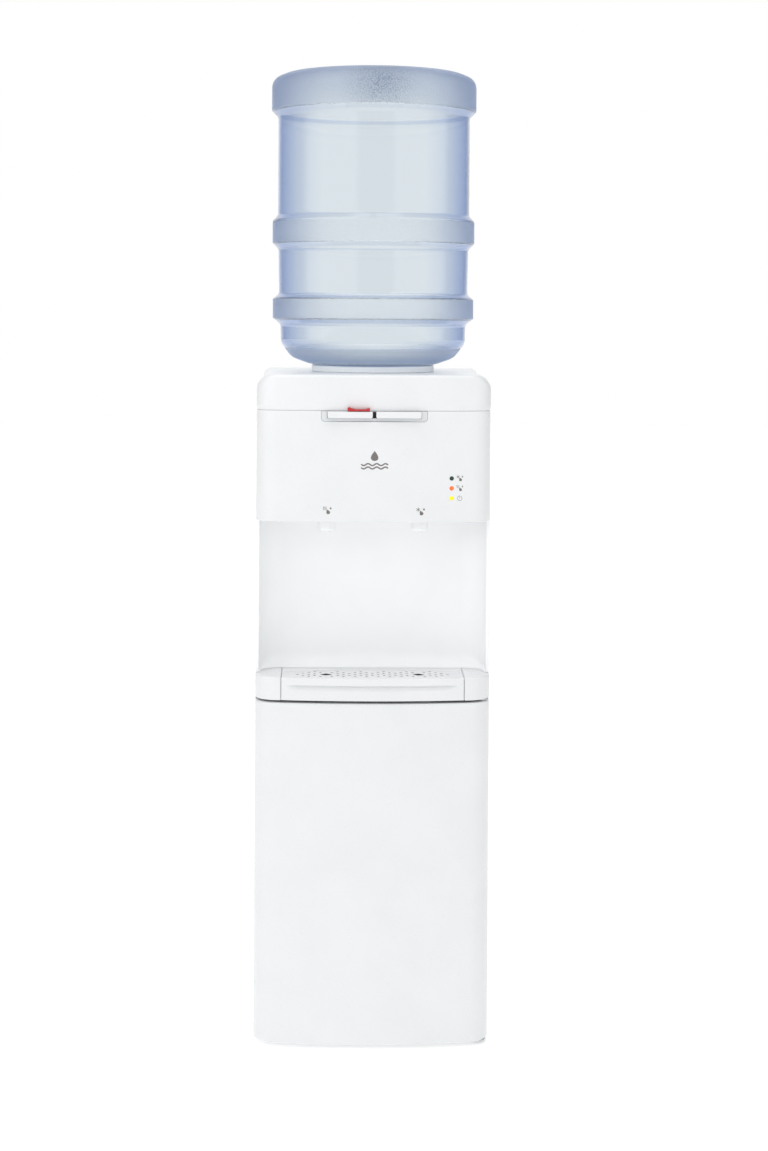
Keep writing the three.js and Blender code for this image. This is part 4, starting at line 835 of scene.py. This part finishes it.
def make_fascia():
    """Bowed front wall with a rolled lower edge, its ceiling over the taps and a step at the top for
    the button surround. Lamp holes are bored through."""
    inset = 1.0
    low, high = fascia_low[2], fascia_high[2]
    rear = PANEL_START - 0.3
    points, normals = body_path(rear)
    brow = high + 0.27  # almost closes the joint under the cap
    section = outline([(inset, low, 2.2), (inset, brow, 0.3), (inset + WALL, brow, 0.3),
                       (inset + WALL, low + WALL, 1.0), (inset + 24, low + WALL, 0.3),
                       (inset + 24, low, 0.3)], 5)
    wall = swept("front_cover", section, points, normals)
    notch_low, notch_high = corners("button_bezel")
    face = rectangle(notch_low[0] - 0.3, notch_high[0] + 0.3, notch_low[2] - 0.3, high + 3,
                     (4.6, 0), 6)
    tools = [slab("notch_tool", face, FRONT - 6, FRONT + 12, "Y", 0)]
    for lamp in ("led_cooling", "led_heating", "led_power"):
        x, _, z = middle_of(lamp)
        bore = np.array([[0, FRONT - 4], [2.8, FRONT - 4], [2.8, FRONT + 16], [0, FRONT + 16]])
        tools.append(turned("bore_tool", bore, x, z, 32, along="Y"))
    fit(carved(wall, tools), white, "front_fascia")
    # The alcove's ceiling, one flat moulding with two round holes for the taps.
    inner = HALF - 26
    back = ALCOVE_BACK - 0.3
    plan = outline([(-inner, FRONT + 28, 3), (-inner + 12, FRONT + 25.5, 3), (0, FRONT + 24.5, 0),
                    (inner - 12, FRONT + 25.5, 3), (inner, FRONT + 28, 3), (HALF - 4, rear, 3),
                    (HALF - 4, back - 26, 26), (HALF - 30, back, 4), (-HALF + 30, back, 4),
                    (-HALF + 4, back - 26, 26), (-HALF + 4, rear, 3)], 6)
    turn = np.linspace(0, 2 * pi, 41)[:-1]
    rounds = [np.stack([x + 11.3 * np.cos(turn), TAP_Y + 11.3 * np.sin(turn)], axis=1)
              for x in (-TAP_X, TAP_X)]
    ceiling = slab("alcove_ceiling", plan, low + 0.1, low + WALL, "Z", 0.3, holes=rounds)
    fit(ceiling, satin_white_painted_fill, body="frame", slot="white_abs")


def bowed(piece, share=1.0, inset=0.0, back=0.0):
    """Bends a flat piece onto the front: y grows by a share of the bow's depth at x."""
    def bend(co):
        co[:, 1] += (bow_y(co[:, 0], inset) - FRONT) * share + back
        return co

    return reshaped(piece, bend)


def make_bezel_and_buttons():
    """Grey surround with rounded lower corners, two push bars that stand out of it, and the red
    child lock over the left-hand one."""
    low, high = corners("button_bezel")
    opening, sill = 59.9, 799.8
    ring = rectangle(low[0], high[0], low[2], high[2], (4.5, 0.4), 6)
    inner = rectangle(-opening, opening, sill, high[2] - 0.8, (1.2, 0.4), 4)
    rim = slab("button_surround", ring, FRONT + 0.6, FRONT + 9, "Y", 0.5, holes=[inner])
    fit(bowed(rim, share=0.9), bezel_grey, "button_bezel")
    # A black plate behind the opening: painted shade, so the gaps at the ends of the bars read dark.
    painted_gap_shade = block("button_gap_painted_shade", -opening, opening, FRONT + 9.5, FRONT + 11, sill + 0.1,
                 high[2] - 0.9, 0.3)
    fit(painted_gap_shade, dark, body="frame", slot="dark_plastic")
    for node, centre in (("hot_button", -30.4), ("cold_button", 30.4)):
        face = rectangle(centre - 27.9, centre + 27.9, sill + 0.4, cap_low[2] - 0.3, (1.2, 0.9), 4)
        bar = slab(f"{node}_bar", face, FRONT - 3.2, FRONT + 3, "Y", 0.8, 4)
        fit(bar, white, body=BODY_OF[node], slot="white_abs")
    a, b = corners("child_lock")
    z0, z1 = 809.2, b[2]
    shape = outline([(a[0], z0, 0.5), (b[0], z0, 0.5), (b[0], z1 - 0.6, 0.9),
                     (b[0] - 2.2, z1 - 1.2, 1.6), (b[0] - 6, z1 - 2.6, 3),
                     (a[0] + 9, z1 - 2.6, 3), (a[0] + 4, z1 - 0.6, 1.6),
                     (a[0] + 2.5, z1, 0.9), (a[0], z1 - 0.3, 0.9)], 5)
    fit(slab("child_lock_slide", shape, FRONT - 6.4, FRONT - 0.6, "Y", 0.5, 3), red, "child_lock")


def make_taps():
    """Turned nozzle with a small spout, one for hot and one for cold."""
    for node in ("hot_tap", "cold_tap"):
        a, b = corners(node)
        x = -TAP_X if node == "hot_tap" else TAP_X
        low = a[2]
        nozzle = outline([(2, low, 0.2), (3.6, low, 0.5), (3.6, low + 3, 0.4), (9.6, low + 3, 1.4),
                          (11, low + 5.5, 1.6), (11, low + 18.8, 0.3), (15, low + 18.8, 0.4),
                          (15, low + 23, 1), (11, low + 25, 1), (11, b[2], 0.8), (3.5, b[2], 0.4),
                          (3.5, b[2] - 12, 0.4), (2, b[2] - 14, 0.4)], 5)
        body = turned(f"{node}_body", nozzle, x, TAP_Y, 64)
        inlet = outline([(0, TAP_Y + 8, 0), (5, TAP_Y + 8, 0.3), (5, b[1], 0.5), (0, b[1], 0)], 3)
        spur = turned("tap_inlet", inlet, x, 676.5, 32, along="Y")
        fit(carved(body, [spur], "UNION"), polythene, node)


def make_lamps():
    """Domed lens in each lamp hole."""
    for node, lens in (("led_cooling", lens_green), ("led_heating", lens_orange),
                       ("led_power", lens_yellow)):
        a, b = corners(node)
        x, _, z = middle_of(node)
        t = np.linspace(0, pi / 2, 9)
        dome = np.stack([2.5 * np.sin(t), a[1] + 1.6 * (1 - np.cos(t))], axis=1)
        profile = np.concatenate([dome, [[2.5, b[1]], [0, b[1]]]])
        fit(turned(node + "_lens", profile, x, z, 32, along="Y"), lens, node)


# ---- Printed pictograms ----


def stroke(points, width):
    """Outline of a line drawn with a round pen: offset to both sides, with half-circle ends."""
    p = np.array(points, float)
    way = np.gradient(p, axis=0)
    way /= np.linalg.norm(way, axis=1)[:, None]
    side = np.stack([-way[:, 1], way[:, 0]], axis=1) * width / 2
    t = np.linspace(0, pi, 7)[1:-1, None]
    end = p[-1] + side[-1] * np.cos(t) + way[-1] * np.sin(t) * width / 2
    begin = p[0] - side[0] * np.cos(t) - way[0] * np.sin(t) * width / 2
    return np.concatenate([p + side, end, (p - side)[::-1], begin])


def drop(size):
    """Water drop: a circle drawn up to a point."""
    t = np.linspace(0, 2 * pi, 33)[:-1]
    return np.stack([size * 0.34 * np.sin(t) * (0.5 - 0.5 * np.cos(t)) ** 0.6 * 1.25,
                     size * (0.06 - 0.42 * np.cos(t + pi))], axis=1)


def turn_flat(ring, degrees):
    c, d = cos(radians(degrees)), sin(radians(degrees))
    return ring @ np.array([[c, d], [-d, c]])


def pictogram(kind, size):
    """Outlines of a generic sign, centred, about size across."""
    s = size / 10
    t = np.linspace(0, 1, 9)
    if kind in ("hot", "cold"):
        drops = [turn_flat(drop(6.8 * s), 25) + [s, -1.8 * s], drop(3.2 * s) + [4.0 * s, 2.6 * s]]
        if kind == "hot":
            steam = [np.stack([k + 0.35 * np.sin(2 * pi * t), 0.6 + 3.8 * t], axis=1) * s
                     for k in (-4.2, -2.7, -1.2)]
            marks = [stroke(line, 0.55 * s) for line in steam]
        else:
            ways = [np.array([cos(a), sin(a)]) * s for a in (pi / 6, pi / 2, 5 * pi / 6)]
            marks = [stroke(np.linspace(-2.3, 2.3, 5)[:, None] * w + [-2.6 * s, 2.4 * s], 0.55 * s)
                     for w in ways]
        return marks + drops
    if kind == "power":
        a = np.linspace(radians(112), radians(428), 33)
        arc = np.stack([3.9 * s * np.cos(a), 3.9 * s * np.sin(a)], axis=1)
        return [stroke(arc, 0.6 * s), stroke(np.array([[0, -0.4], [0, 2.2], [0, 4.6]]) * s, 0.6 * s)]
    wave = np.linspace(-pi, pi, 33)
    lines = [np.stack([wave * 6.6 / pi, 0.5 * np.sin(3 * wave) - level], axis=1) * s
             for level in (2.6, 4.3)]
    return [stroke(line, 0.7 * s) for line in lines] + [drop(size * 0.6) + [0, 1.4 * s]]


def make_pictograms():
    """Thin ink outlines bent onto the bowed front: a sign over each tap, three by the lamps and a
    plain drop in the middle."""
    signs = [("tap_sign_hot", "hot", -TAP_X, 683, 11), ("tap_sign_cold", "cold", TAP_X, 682, 11)]
    for kind, lamp, size in (("cold", "led_cooling", 8.5), ("hot", "led_heating", 8.5),
                             ("power", "led_power", 7.5)):
        x, _, z = middle_of(lamp)
        signs.append((f"lamp_sign_{kind}", kind, x + 10.3, z, size))
    signs.append(("front_emblem", "emblem", 0.5, 748, 25))
    for name, kind, x, z, size in signs:
        marks = [slab(f"{name}_{i}", ring + [x, z], 0, 0.3, "Y", 0) for i, ring in
                 enumerate(pictogram(kind, size))]
        sign = bowed(merged(name, marks), inset=1.0, back=FRONT - 0.12)
        fit(sign, ink, body="frame", slot="grey_plastic")


# ---- Alcove, tray housing, tray and grille ----


def make_alcove():
    """Wall section (inset into the alcove, height) carried round the alcove's U-shaped plan: a small
    cove at the ceiling and a wide one that sweeps forward to the shelf."""
    low, high = liner_low[2], liner_high[2]
    half = HALF - 1.3 - WALL
    r = ALCOVE_CORNER
    start = PANEL_START - 2
    a = np.linspace(0, pi / 2, 20)
    left = np.stack([np.full(8, -half), np.linspace(start, ALCOVE_BACK - r - 0.5, 8)], axis=1)
    first = np.stack([-half + r - r * np.cos(a), ALCOVE_BACK - r + r * np.sin(a)], axis=1)
    x = np.linspace(-half + r + 0.5, half - r - 0.5, 30)
    back = np.stack([x, np.full(30, ALCOVE_BACK)], axis=1)
    second = np.stack([half - r + r * np.sin(a), ALCOVE_BACK - r + r * np.cos(a)], axis=1)
    right = left[::-1] * [-1, 1]
    points = np.concatenate([left, first, back, second, right])
    normals = np.concatenate([
        np.tile([1.0, 0], (8, 1)), np.stack([np.cos(a), -np.sin(a)], axis=1),
        np.tile([0, -1.0], (30, 1)), np.stack([-np.sin(a), -np.cos(a)], axis=1),
        np.tile([-1.0, 0], (8, 1))])
    ramp = np.clip((points[:, 1] - start) / (ALCOVE_BACK - start), 0, 1)
    cove = 2 + 16 * ramp ** 2  # the cove is widest along the back
    flat = 0 * cove
    section = [(flat - WALL, flat + low), (flat - WALL, flat + high), (flat, flat + high),
               (flat, low + cove + 1)]
    for angle in np.linspace(0, pi / 2, 9):
        section.append((cove * (1 - cos(angle)), low + cove * (1 - sin(angle))))
    grid = np.stack([np.concatenate([points + normals * inset[:, None], z[:, None]], axis=1)
                     for inset, z in section], axis=1)
    wall = sheet_of("alcove_wall", grid, wrap_v=True, ends=True)
    lips = [block("lip", *sorted((side * (half - 0.4), side * HALF)), PANEL_START - 2.1,
                  PANEL_START - 0.3, low, high, 0.7) for side in (-1, 1)]
    fit(merged("alcove_wall", [wall, *lips]), satin_white_painted_fill, "alcove_liner")


TRAY_HALF = tray_high[0]


def make_housing():
    """Shelf with rounded shoulders: the body's outline between the tray's sides is left open."""
    low, high = shelf_low[2], shelf_high[2]
    clear = TRAY_HALF + 0.5
    points, _ = body_path(PANEL_START - 0.3)
    pieces = []
    for side in (-1, 1):
        p = points[points[:, 0] * side > clear + 2]
        if side > 0:
            p = p[::-1]
        rear = shelf_high[1] - 2.8
        wall = side * (HALF - 1.3)
        shape = np.concatenate([
            [[side * clear, rear], [wall, rear], [wall, PANEL_START - 0.3]], p,
            [[side * (clear + 1.2), bow_y(clear + 1.2)], [side * (clear + 0.3), bow_y(clear) + 0.5],
             [side * clear, bow_y(clear) + 1.5]]])
        if side < 0:
            shape = shape[::-1]
        pieces.append(slab(f"shoulder_{side}", shape, low, high, "Z", 1.6, 4))
    floor = np.array([[-clear, FRONT + 11.5], [clear, FRONT + 11.5], [clear, shelf_high[1] - 4],
                      [-clear, shelf_high[1] - 4]])
    pieces.append(slab("housing_floor", floor, low, low + WALL, "Z", 0.3))
    pieces.append(block("housing_rear", -clear, clear, FRONT + 70.9, shelf_high[1] - 2.8, low + WALL,
                        high))
    fit(merged("tray_housing_shelf", pieces), white, "tray_housing")


def lens_plan(half, front_inset, front_end, rear_centre, rear_end):
    """Eye-shaped plan: front and rear edges are parabolas that meet short straight ends."""
    x = np.linspace(-half, half, 48)
    front = FRONT + front_inset + (front_end - front_inset) * (x / half) ** 2
    rear = FRONT + rear_centre - (rear_centre - rear_end) * (x / half) ** 2
    rough = [(half, front[-1], 3), (half, rear[-1], 3)]
    ends_right = outline([(x[-3], front[-3], 0), *rough, (x[-3], rear[-3], 0)], 4)[1:-1]
    ends_left = (ends_right * [-1, 1])[::-1]
    ahead = np.stack([x[2:-2], front[2:-2]], axis=1)
    behind = np.stack([x[2:-2], rear[2:-2]], axis=1)[::-1]
    return np.concatenate([ahead, ends_right, behind, ends_left])


def make_tray():
    """Tray whose bowed front has a finger groove under its top edge. The groove is cut inwards by a
    smooth hollow that fades out over its last 18 mm at each end."""
    low, high = tray_low[2], tray_high[2]
    half = TRAY_HALF
    x = np.concatenate([[-half], np.linspace(-half + 0.7, half - 0.7, 160), [half]])
    z = np.concatenate([[low], np.linspace(low + 0.8, 452.4, 6), np.linspace(453, 461.6, 18),
                        np.linspace(462.2, high - 1.2, 5), [high - 0.5, high]])
    xx, zz = np.meshgrid(x, z, indexing="ij")
    fade = np.clip((half - 4 - np.abs(xx)) / 18, 0, 1)
    fade = fade * fade * (3 - 2 * fade)
    top, bottom = 461.2, 453.2 + 3.5 * (1 - fade)
    share = np.clip((top - zz) / (top - bottom), 0, 1)
    brow = np.where(share < 0.16, np.sin(share / 0.16 * pi / 2), 1)
    hollow = 4.2 * fade * brow * (1 - share ** 1.7)
    rolled = 1.3 * np.clip((zz - (high - 1.3)) / 1.3, 0, 1) ** 2 + 0.8 * np.clip(
        (low + 0.8 - zz) / 0.8, 0, 1) ** 2 + 0.7 * (np.abs(xx) > half - 0.3)
    face = np.stack([xx, bow_y(xx) + np.maximum(hollow, 0) * (zz < top) + rolled, zz], axis=-1)
    rear = np.stack([xx, np.full_like(xx, FRONT + 10.5), zz], axis=-1)
    grid = np.concatenate([face, rear[:, ::-1]], axis=1)
    front = sheet_of("tray_front", grid, wrap_v=True, ends=True)
    base = 444.5
    outer = lens_plan(half - 0.2, 10.0, 12, GRILLE_REAR + 2.2, GRILLE_REAR + 2.1)
    inner = lens_plan(half - 3, 12.4, 15, GRILLE_REAR - 1.5, 52)
    rings = [(outer, base), (outer, high - 0.5), (outer * 0.9985, high), (inner, high),
             (inner, base + 2.2)]
    grid = np.stack([np.concatenate([r, np.full((len(r), 1), h)], axis=1) for r, h in rings])
    tub = sheet_of("tray_tub", grid, wrap_v=True, ends=True)
    fit(merged("pull_out_tray", [front, tub]), white, "drip_tray")


GRILLE_REAR = grille_high[1] - FRONT
HOLE_X, HOLE_Y, HOLE_R = 7.4, 7.2, 2.1
DIAMOND_COLUMNS = (5, 21)


def make_grille():
    """Plate pierced by round holes in a diamond lattice, with two large diamonds under the taps."""
    middle = (grille_low[1] + grille_high[1]) / 2
    turn = np.linspace(0, 2 * pi, 19)[:-1]
    holes = []
    for column in range(27):
        limit = [2, 1, 2, 3][column % 4] if column % 26 else 0
        for row in range(-3, 4):
            beside = row == 0 and any(abs(c - column) == 1 for c in DIAMOND_COLUMNS)
            if (column + row) % 2 or abs(row) > limit or column in DIAMOND_COLUMNS or beside:
                continue
            centre = np.array([(column - 13) * HOLE_X, middle + row * HOLE_Y])
            holes.append(centre + HOLE_R * np.stack([np.cos(turn), np.sin(turn)], axis=1))
    for column in DIAMOND_COLUMNS:
        centre = np.array([(column - 13) * HOLE_X, middle])
        ring = outline([(-8.8, 0, 1.5), (0, -7.6, 1.5), (8.8, 0, 1.5), (0, 7.6, 1.5)], 4)
        holes.append(centre + ring)
    plate = lens_plan(grille_high[0], grille_low[1] - FRONT, 15, GRILLE_REAR, 54)
    made = slab("drip_plate", plate, grille_low[2], grille_high[2], "Z", 0.3, 2, holes)
    fit(made, grille_grey, "drip_grille")


# ---- Door, panels, base and feet ----


def make_door():
    """Bowed moulding: a wall section with rounded edges carried round the front, and top and bottom
    plates that close it, all in one shell."""
    low, high = door_low[2], door_high[2]
    rear = door_high[1]
    points, normals = body_path(rear)
    section = outline([(0, low, 3.2), (0, high, 2.4), (13, high, 0.4), (13, high - 3, 0.5),
                       (3, high - 3, 2), (3, low + 3, 2), (13, low + 3, 0.5), (13, low, 0.4)], 6)
    shell = swept("door_front", section, points, normals)
    rims = []
    for z0 in (low + 0.2, high - 2.8):
        inner = (points + normals * 12)[(points[:, 1] < rear - 1)]
        rims.append(slab("door_web", inner, z0, z0 + 2.6, "Z", 0.2))
    fit(merged("door_front", [shell, *rims]), white, "door_panel")
    a, b = corners("door_liner")
    plate = slab("door_inner", rectangle(a[0], b[0], a[2], b[2], 6, 6), b[1] - WALL, b[1], "Y", 0.6)
    panels = []
    for z0, z1 in ((a[2] + 36, 218), (226, b[2] - 36)):
        ring = rectangle(a[0] + 24, b[0] - 24, z0, z1, 14, 8)
        panels.append(slab("door_rib", ring, b[1] - 0.2, b[1] + 1.4, "Y", 0.7))
    fit(merged("door_inner", [plate, *panels]), liner_white, "door_liner")


def make_panels():
    """Folded sheet: an L-shaped plan with a 3 mm fold, carried up the height of each side."""
    for node, side in (("left_side_panel", -1), ("right_side_panel", 1)):
        a, b = corners(node)
        x = side * HALF
        plan = outline([(x, a[1], 0.3), (x, b[1], 3), (side * (HALF - 12), b[1], 0.2),
                        (side * (HALF - 12), b[1] - 1, 0.2), (side * (HALF - 1), b[1] - 1, 2),
                        (side * (HALF - 1), a[1], 0.3)], 5)
        levels = np.array([a[2], a[2] + 0.4, b[2] - 0.4, b[2]])
        grid = np.stack([np.concatenate([plan, np.full((len(plan), 1), z)], axis=1) for z in levels])
        fit(sheet_of(node + "_sheet", grid, wrap_v=True, ends=True), white_steel, node)


def make_base():
    """Moulded pan with a rounded skirt, and a tapered foot under each corner."""
    a, b = base_low, base_high
    ring = rectangle(a[0], b[0], a[1], b[1], (3, 5), 6)
    inner = rectangle(a[0] + WALL, b[0] - WALL, a[1] + WALL, b[1] - WALL, (2, 3), 6)
    rings = [(ring * 0.999, a[2]), (ring, a[2] + 0.6), (ring, b[2] - 0.6), (ring * 0.9985, b[2]),
             (inner, b[2]), (inner, a[2] + WALL)]
    grid = np.stack([np.concatenate([r, np.full((len(r), 1), z)], axis=1) for r, z in rings])
    fit(sheet_of("base_pan", grid, wrap_v=True, ends=True), satin_white_painted_fill, "base_tray")
    for end in ("front", "rear"):
        for side in ("left", "right"):
            node = f"foot_{end}_{side}"
            low, high = corners(node)
            centre = (low + high) / 2
            pad = outline([(0, 0, 0), (14, 0, 1.2), (16, high[2], 0.6), (0, high[2], 0)], 4)
            fit(turned(node + "_pad", pad, centre[0], centre[1], 48), rubber, node)


# ---- Back of the body ----


def make_condenser():
    """Wire-on-tube condenser: one tube in level runs with half-circle bends, and rows of thin
    upright wires welded to both of its sides."""
    high = corners("condenser")[1]
    tube_r, wire_r = 2.4, 0.8
    runs, pitch = 7, 66
    bottom = 262
    half = 112
    y = high[1] - tube_r - wire_r * 1.5
    bend = pitch / 2
    reach = half - bend
    line = []
    for run in range(runs):
        way = 1 if run % 2 == 0 else -1
        z = bottom + run * pitch
        xs = np.linspace(-way * reach, way * reach, 30)
        line.append(np.stack([xs, np.full(30, y), np.full(30, float(z))], axis=1))
        if run < runs - 1:
            a = np.linspace(-pi / 2, pi / 2, 16)[1:-1]
            line.append(np.stack([way * (reach + bend * np.cos(a)), np.full(14, y),
                                  z + bend + bend * np.sin(a)], axis=1))
    line = np.concatenate(line)
    pipe_x = half - 4
    first = [[-pipe_x, PANEL_REAR - 12, bottom - 20], [-pipe_x, y - 6, bottom - 20],
             [-pipe_x, y, bottom - 14], [-pipe_x, y, bottom - 6], [-pipe_x + 6, y, bottom],
             [-reach - 1, y, bottom]]
    top = bottom + (runs - 1) * pitch
    last = [[reach + 1, y, top], [pipe_x - 6, y, top], [pipe_x, y, top - 6], [pipe_x, y, top - 14],
            [pipe_x, y - 6, top - 20], [pipe_x, PANEL_REAR - 12, top - 20]]
    pieces = [round_section("coil", line, tube_r, 14), piped("inlet", first, tube_r, 60, 14),
              piped("outlet", last, tube_r, 60, 14)]
    for x in np.linspace(-reach + 2, reach - 2, 31):
        for offset in (-1, 1):
            wire_y = y + offset * (tube_r + wire_r * 0.6)
            wire = np.array([[x, wire_y, bottom - 12], [x, wire_y, top / 2 + bottom / 2],
                             [x, wire_y, top + 12]])
            pieces.append(round_section("wire", wire, wire_r, 6))
    fit(merged("condenser_grid", pieces), enamel, "condenser")


def make_rear_fittings():
    """Switch plate with two rockers, inlet gland, drain outlet and its cap, and two screws."""
    a, b = corners("switch_plate")
    ring = rectangle(a[0], b[0], a[2], b[2], 3, 5)
    windows = []
    for node in ("hot_switch", "cold_switch"):
        low, high = corners(node)
        windows.append(rectangle(low[0] - 0.5, high[0] + 0.5, low[2] - 0.5, high[2] + 1.3, 1, 4))
    plate = slab("switch_frame", ring, PANEL_REAR - 0.9, b[1], "Y", 0.7, holes=windows)
    fit(plate, dark, "switch_plate")
    for node, finish in (("hot_switch", red), ("cold_switch", green)):
        low, high = corners(node)
        z = (low[2] + high[2]) / 2
        side = outline([(PANEL_REAR - 8, low[2] + 1, 0.6), (PANEL_REAR + 1.2, low[2] + 0.6, 0.8),
                        (PANEL_REAR + 1.6, z, 6), (high[1], high[2] - 1.2, 0.8),
                        (PANEL_REAR - 5, high[2], 0.6)], 5)
        fit(slab(node + "_rocker", side, low[0], high[0], "X", 0.5), finish, node)
    seat = PANEL_REAR + 0.3
    (a, b), (x, _, z) = corners("power_inlet"), middle_of("power_inlet")
    gland = outline([(4, a[1], 0.5), (9, a[1], 0.8), (9, seat, 0.3), (12, seat, 0.4),
                     (12, seat + 2.1, 1), (9.4, seat + 2.3, 0.6), (8.6, b[1], 1.2), (4, b[1], 1)], 5)
    fit(turned("lead_gland", gland, x, z, 48, along="Y"), dark, "power_inlet")
    (a, b), (x, _, z) = corners("drain_outlet"), middle_of("drain_outlet")
    spout = outline([(5, a[1], 0.5), (8, a[1], 0.8), (8, seat, 0.3), (12, seat, 0.4),
                     (12, seat + 2.7, 0.8), (8, seat + 2.7, 0.3), (8, b[1], 0.8), (5, b[1], 0.6)], 5)
    fit(turned("drain_spout", spout, x, z, 48, along="Y"), polythene, "drain_outlet")
    a, b = corners("drain_cap")
    cup = outline([(0, b[1], 0), (11.8, b[1], 1.6), (11.8, a[1], 0.6), (8.4, a[1], 0.4),
                   (8.4, b[1] - 4.5, 0.4), (0, b[1] - 4.5, 0)], 5)
    cap = turned("drain_plug", cup, x, z, 96, along="Y")
    centre = np.array([x, z])

    def ribbed(co):
        """24 ribs round the edge for the fingers, 3% of its radius deep."""
        radial = co[:, [0, 2]] - centre
        angle = np.arctan2(radial[:, 1], radial[:, 0])
        edge = np.linalg.norm(radial, axis=1) > 11.2
        grip = np.where(edge, 1 - 0.03 * (0.5 + 0.5 * np.cos(angle * 24)), 1.0)
        co[:, [0, 2]] = centre + radial * grip[:, None]
        return co

    reshaped(cap, ribbed)
    fit(cap, red, "drain_cap")
    for node in ("rear_screw_left", "rear_screw_right"):
        (low, high), (x, _, z) = corners(node), middle_of(node)
        t = np.linspace(0, pi / 2, 7)
        dome = np.stack([4 * np.sin(t), high[1] - 1.6 * (1 - np.cos(t))], axis=1)
        profile = np.concatenate([dome, [[4, low[1]], [0, low[1]]]])
        head = turned(node + "_head", profile, x, z, 32, along="Y")
        slots = [block("slot", x - w, x + w, high[1] - 0.8, high[1] + 1, z - h, z + h, 0.1)
                 for w, h in ((2.4, 0.4), (0.4, 2.4))]
        fit(carved(head, slots), plated, node)


# ---- Insides that the CAD nodes already shape ----


def finish_insides():
    """CAD nodes whose shape is right keep it and take their real finish."""
    finishes = {
        "rear_panel": zinc, "cabinet_liner": liner_white, "door_catch": dark,
        "hot_stem": polythene, "cold_stem": polythene, "hot_button": white, "cold_button": white,
        "led_board": board, "cold_tank": brushed, "cold_tank_jacket": foam,
        "evaporator_coil": copper,
        "hot_tank": brushed, "heater_band": dark, "thermostat": dark, "filter_dryer": copper,
        "suction_pipe": copper, "hot_hose": silicone, "cold_hose": silicone, "feed_hose": silicone,
        "drain_hose": silicone, "compressor": enamel, "upper_hinge": plated, "lower_hinge": plated,
        "hot_spring": plated, "cold_spring": plated,
    }
    for node, material in finishes.items():
        piece = frame["nodes"][node]
        piece.data.materials.clear()
        piece.data.materials.append(material)


for make in (make_bottle, make_seat, make_cap, make_fascia, make_bezel_and_buttons, make_taps,
             make_lamps, make_pictograms, make_alcove, make_housing, make_tray, make_grille,
             make_door, make_panels, make_base, make_condenser, make_rear_fittings,
             finish_insides, make_floor):
    make()
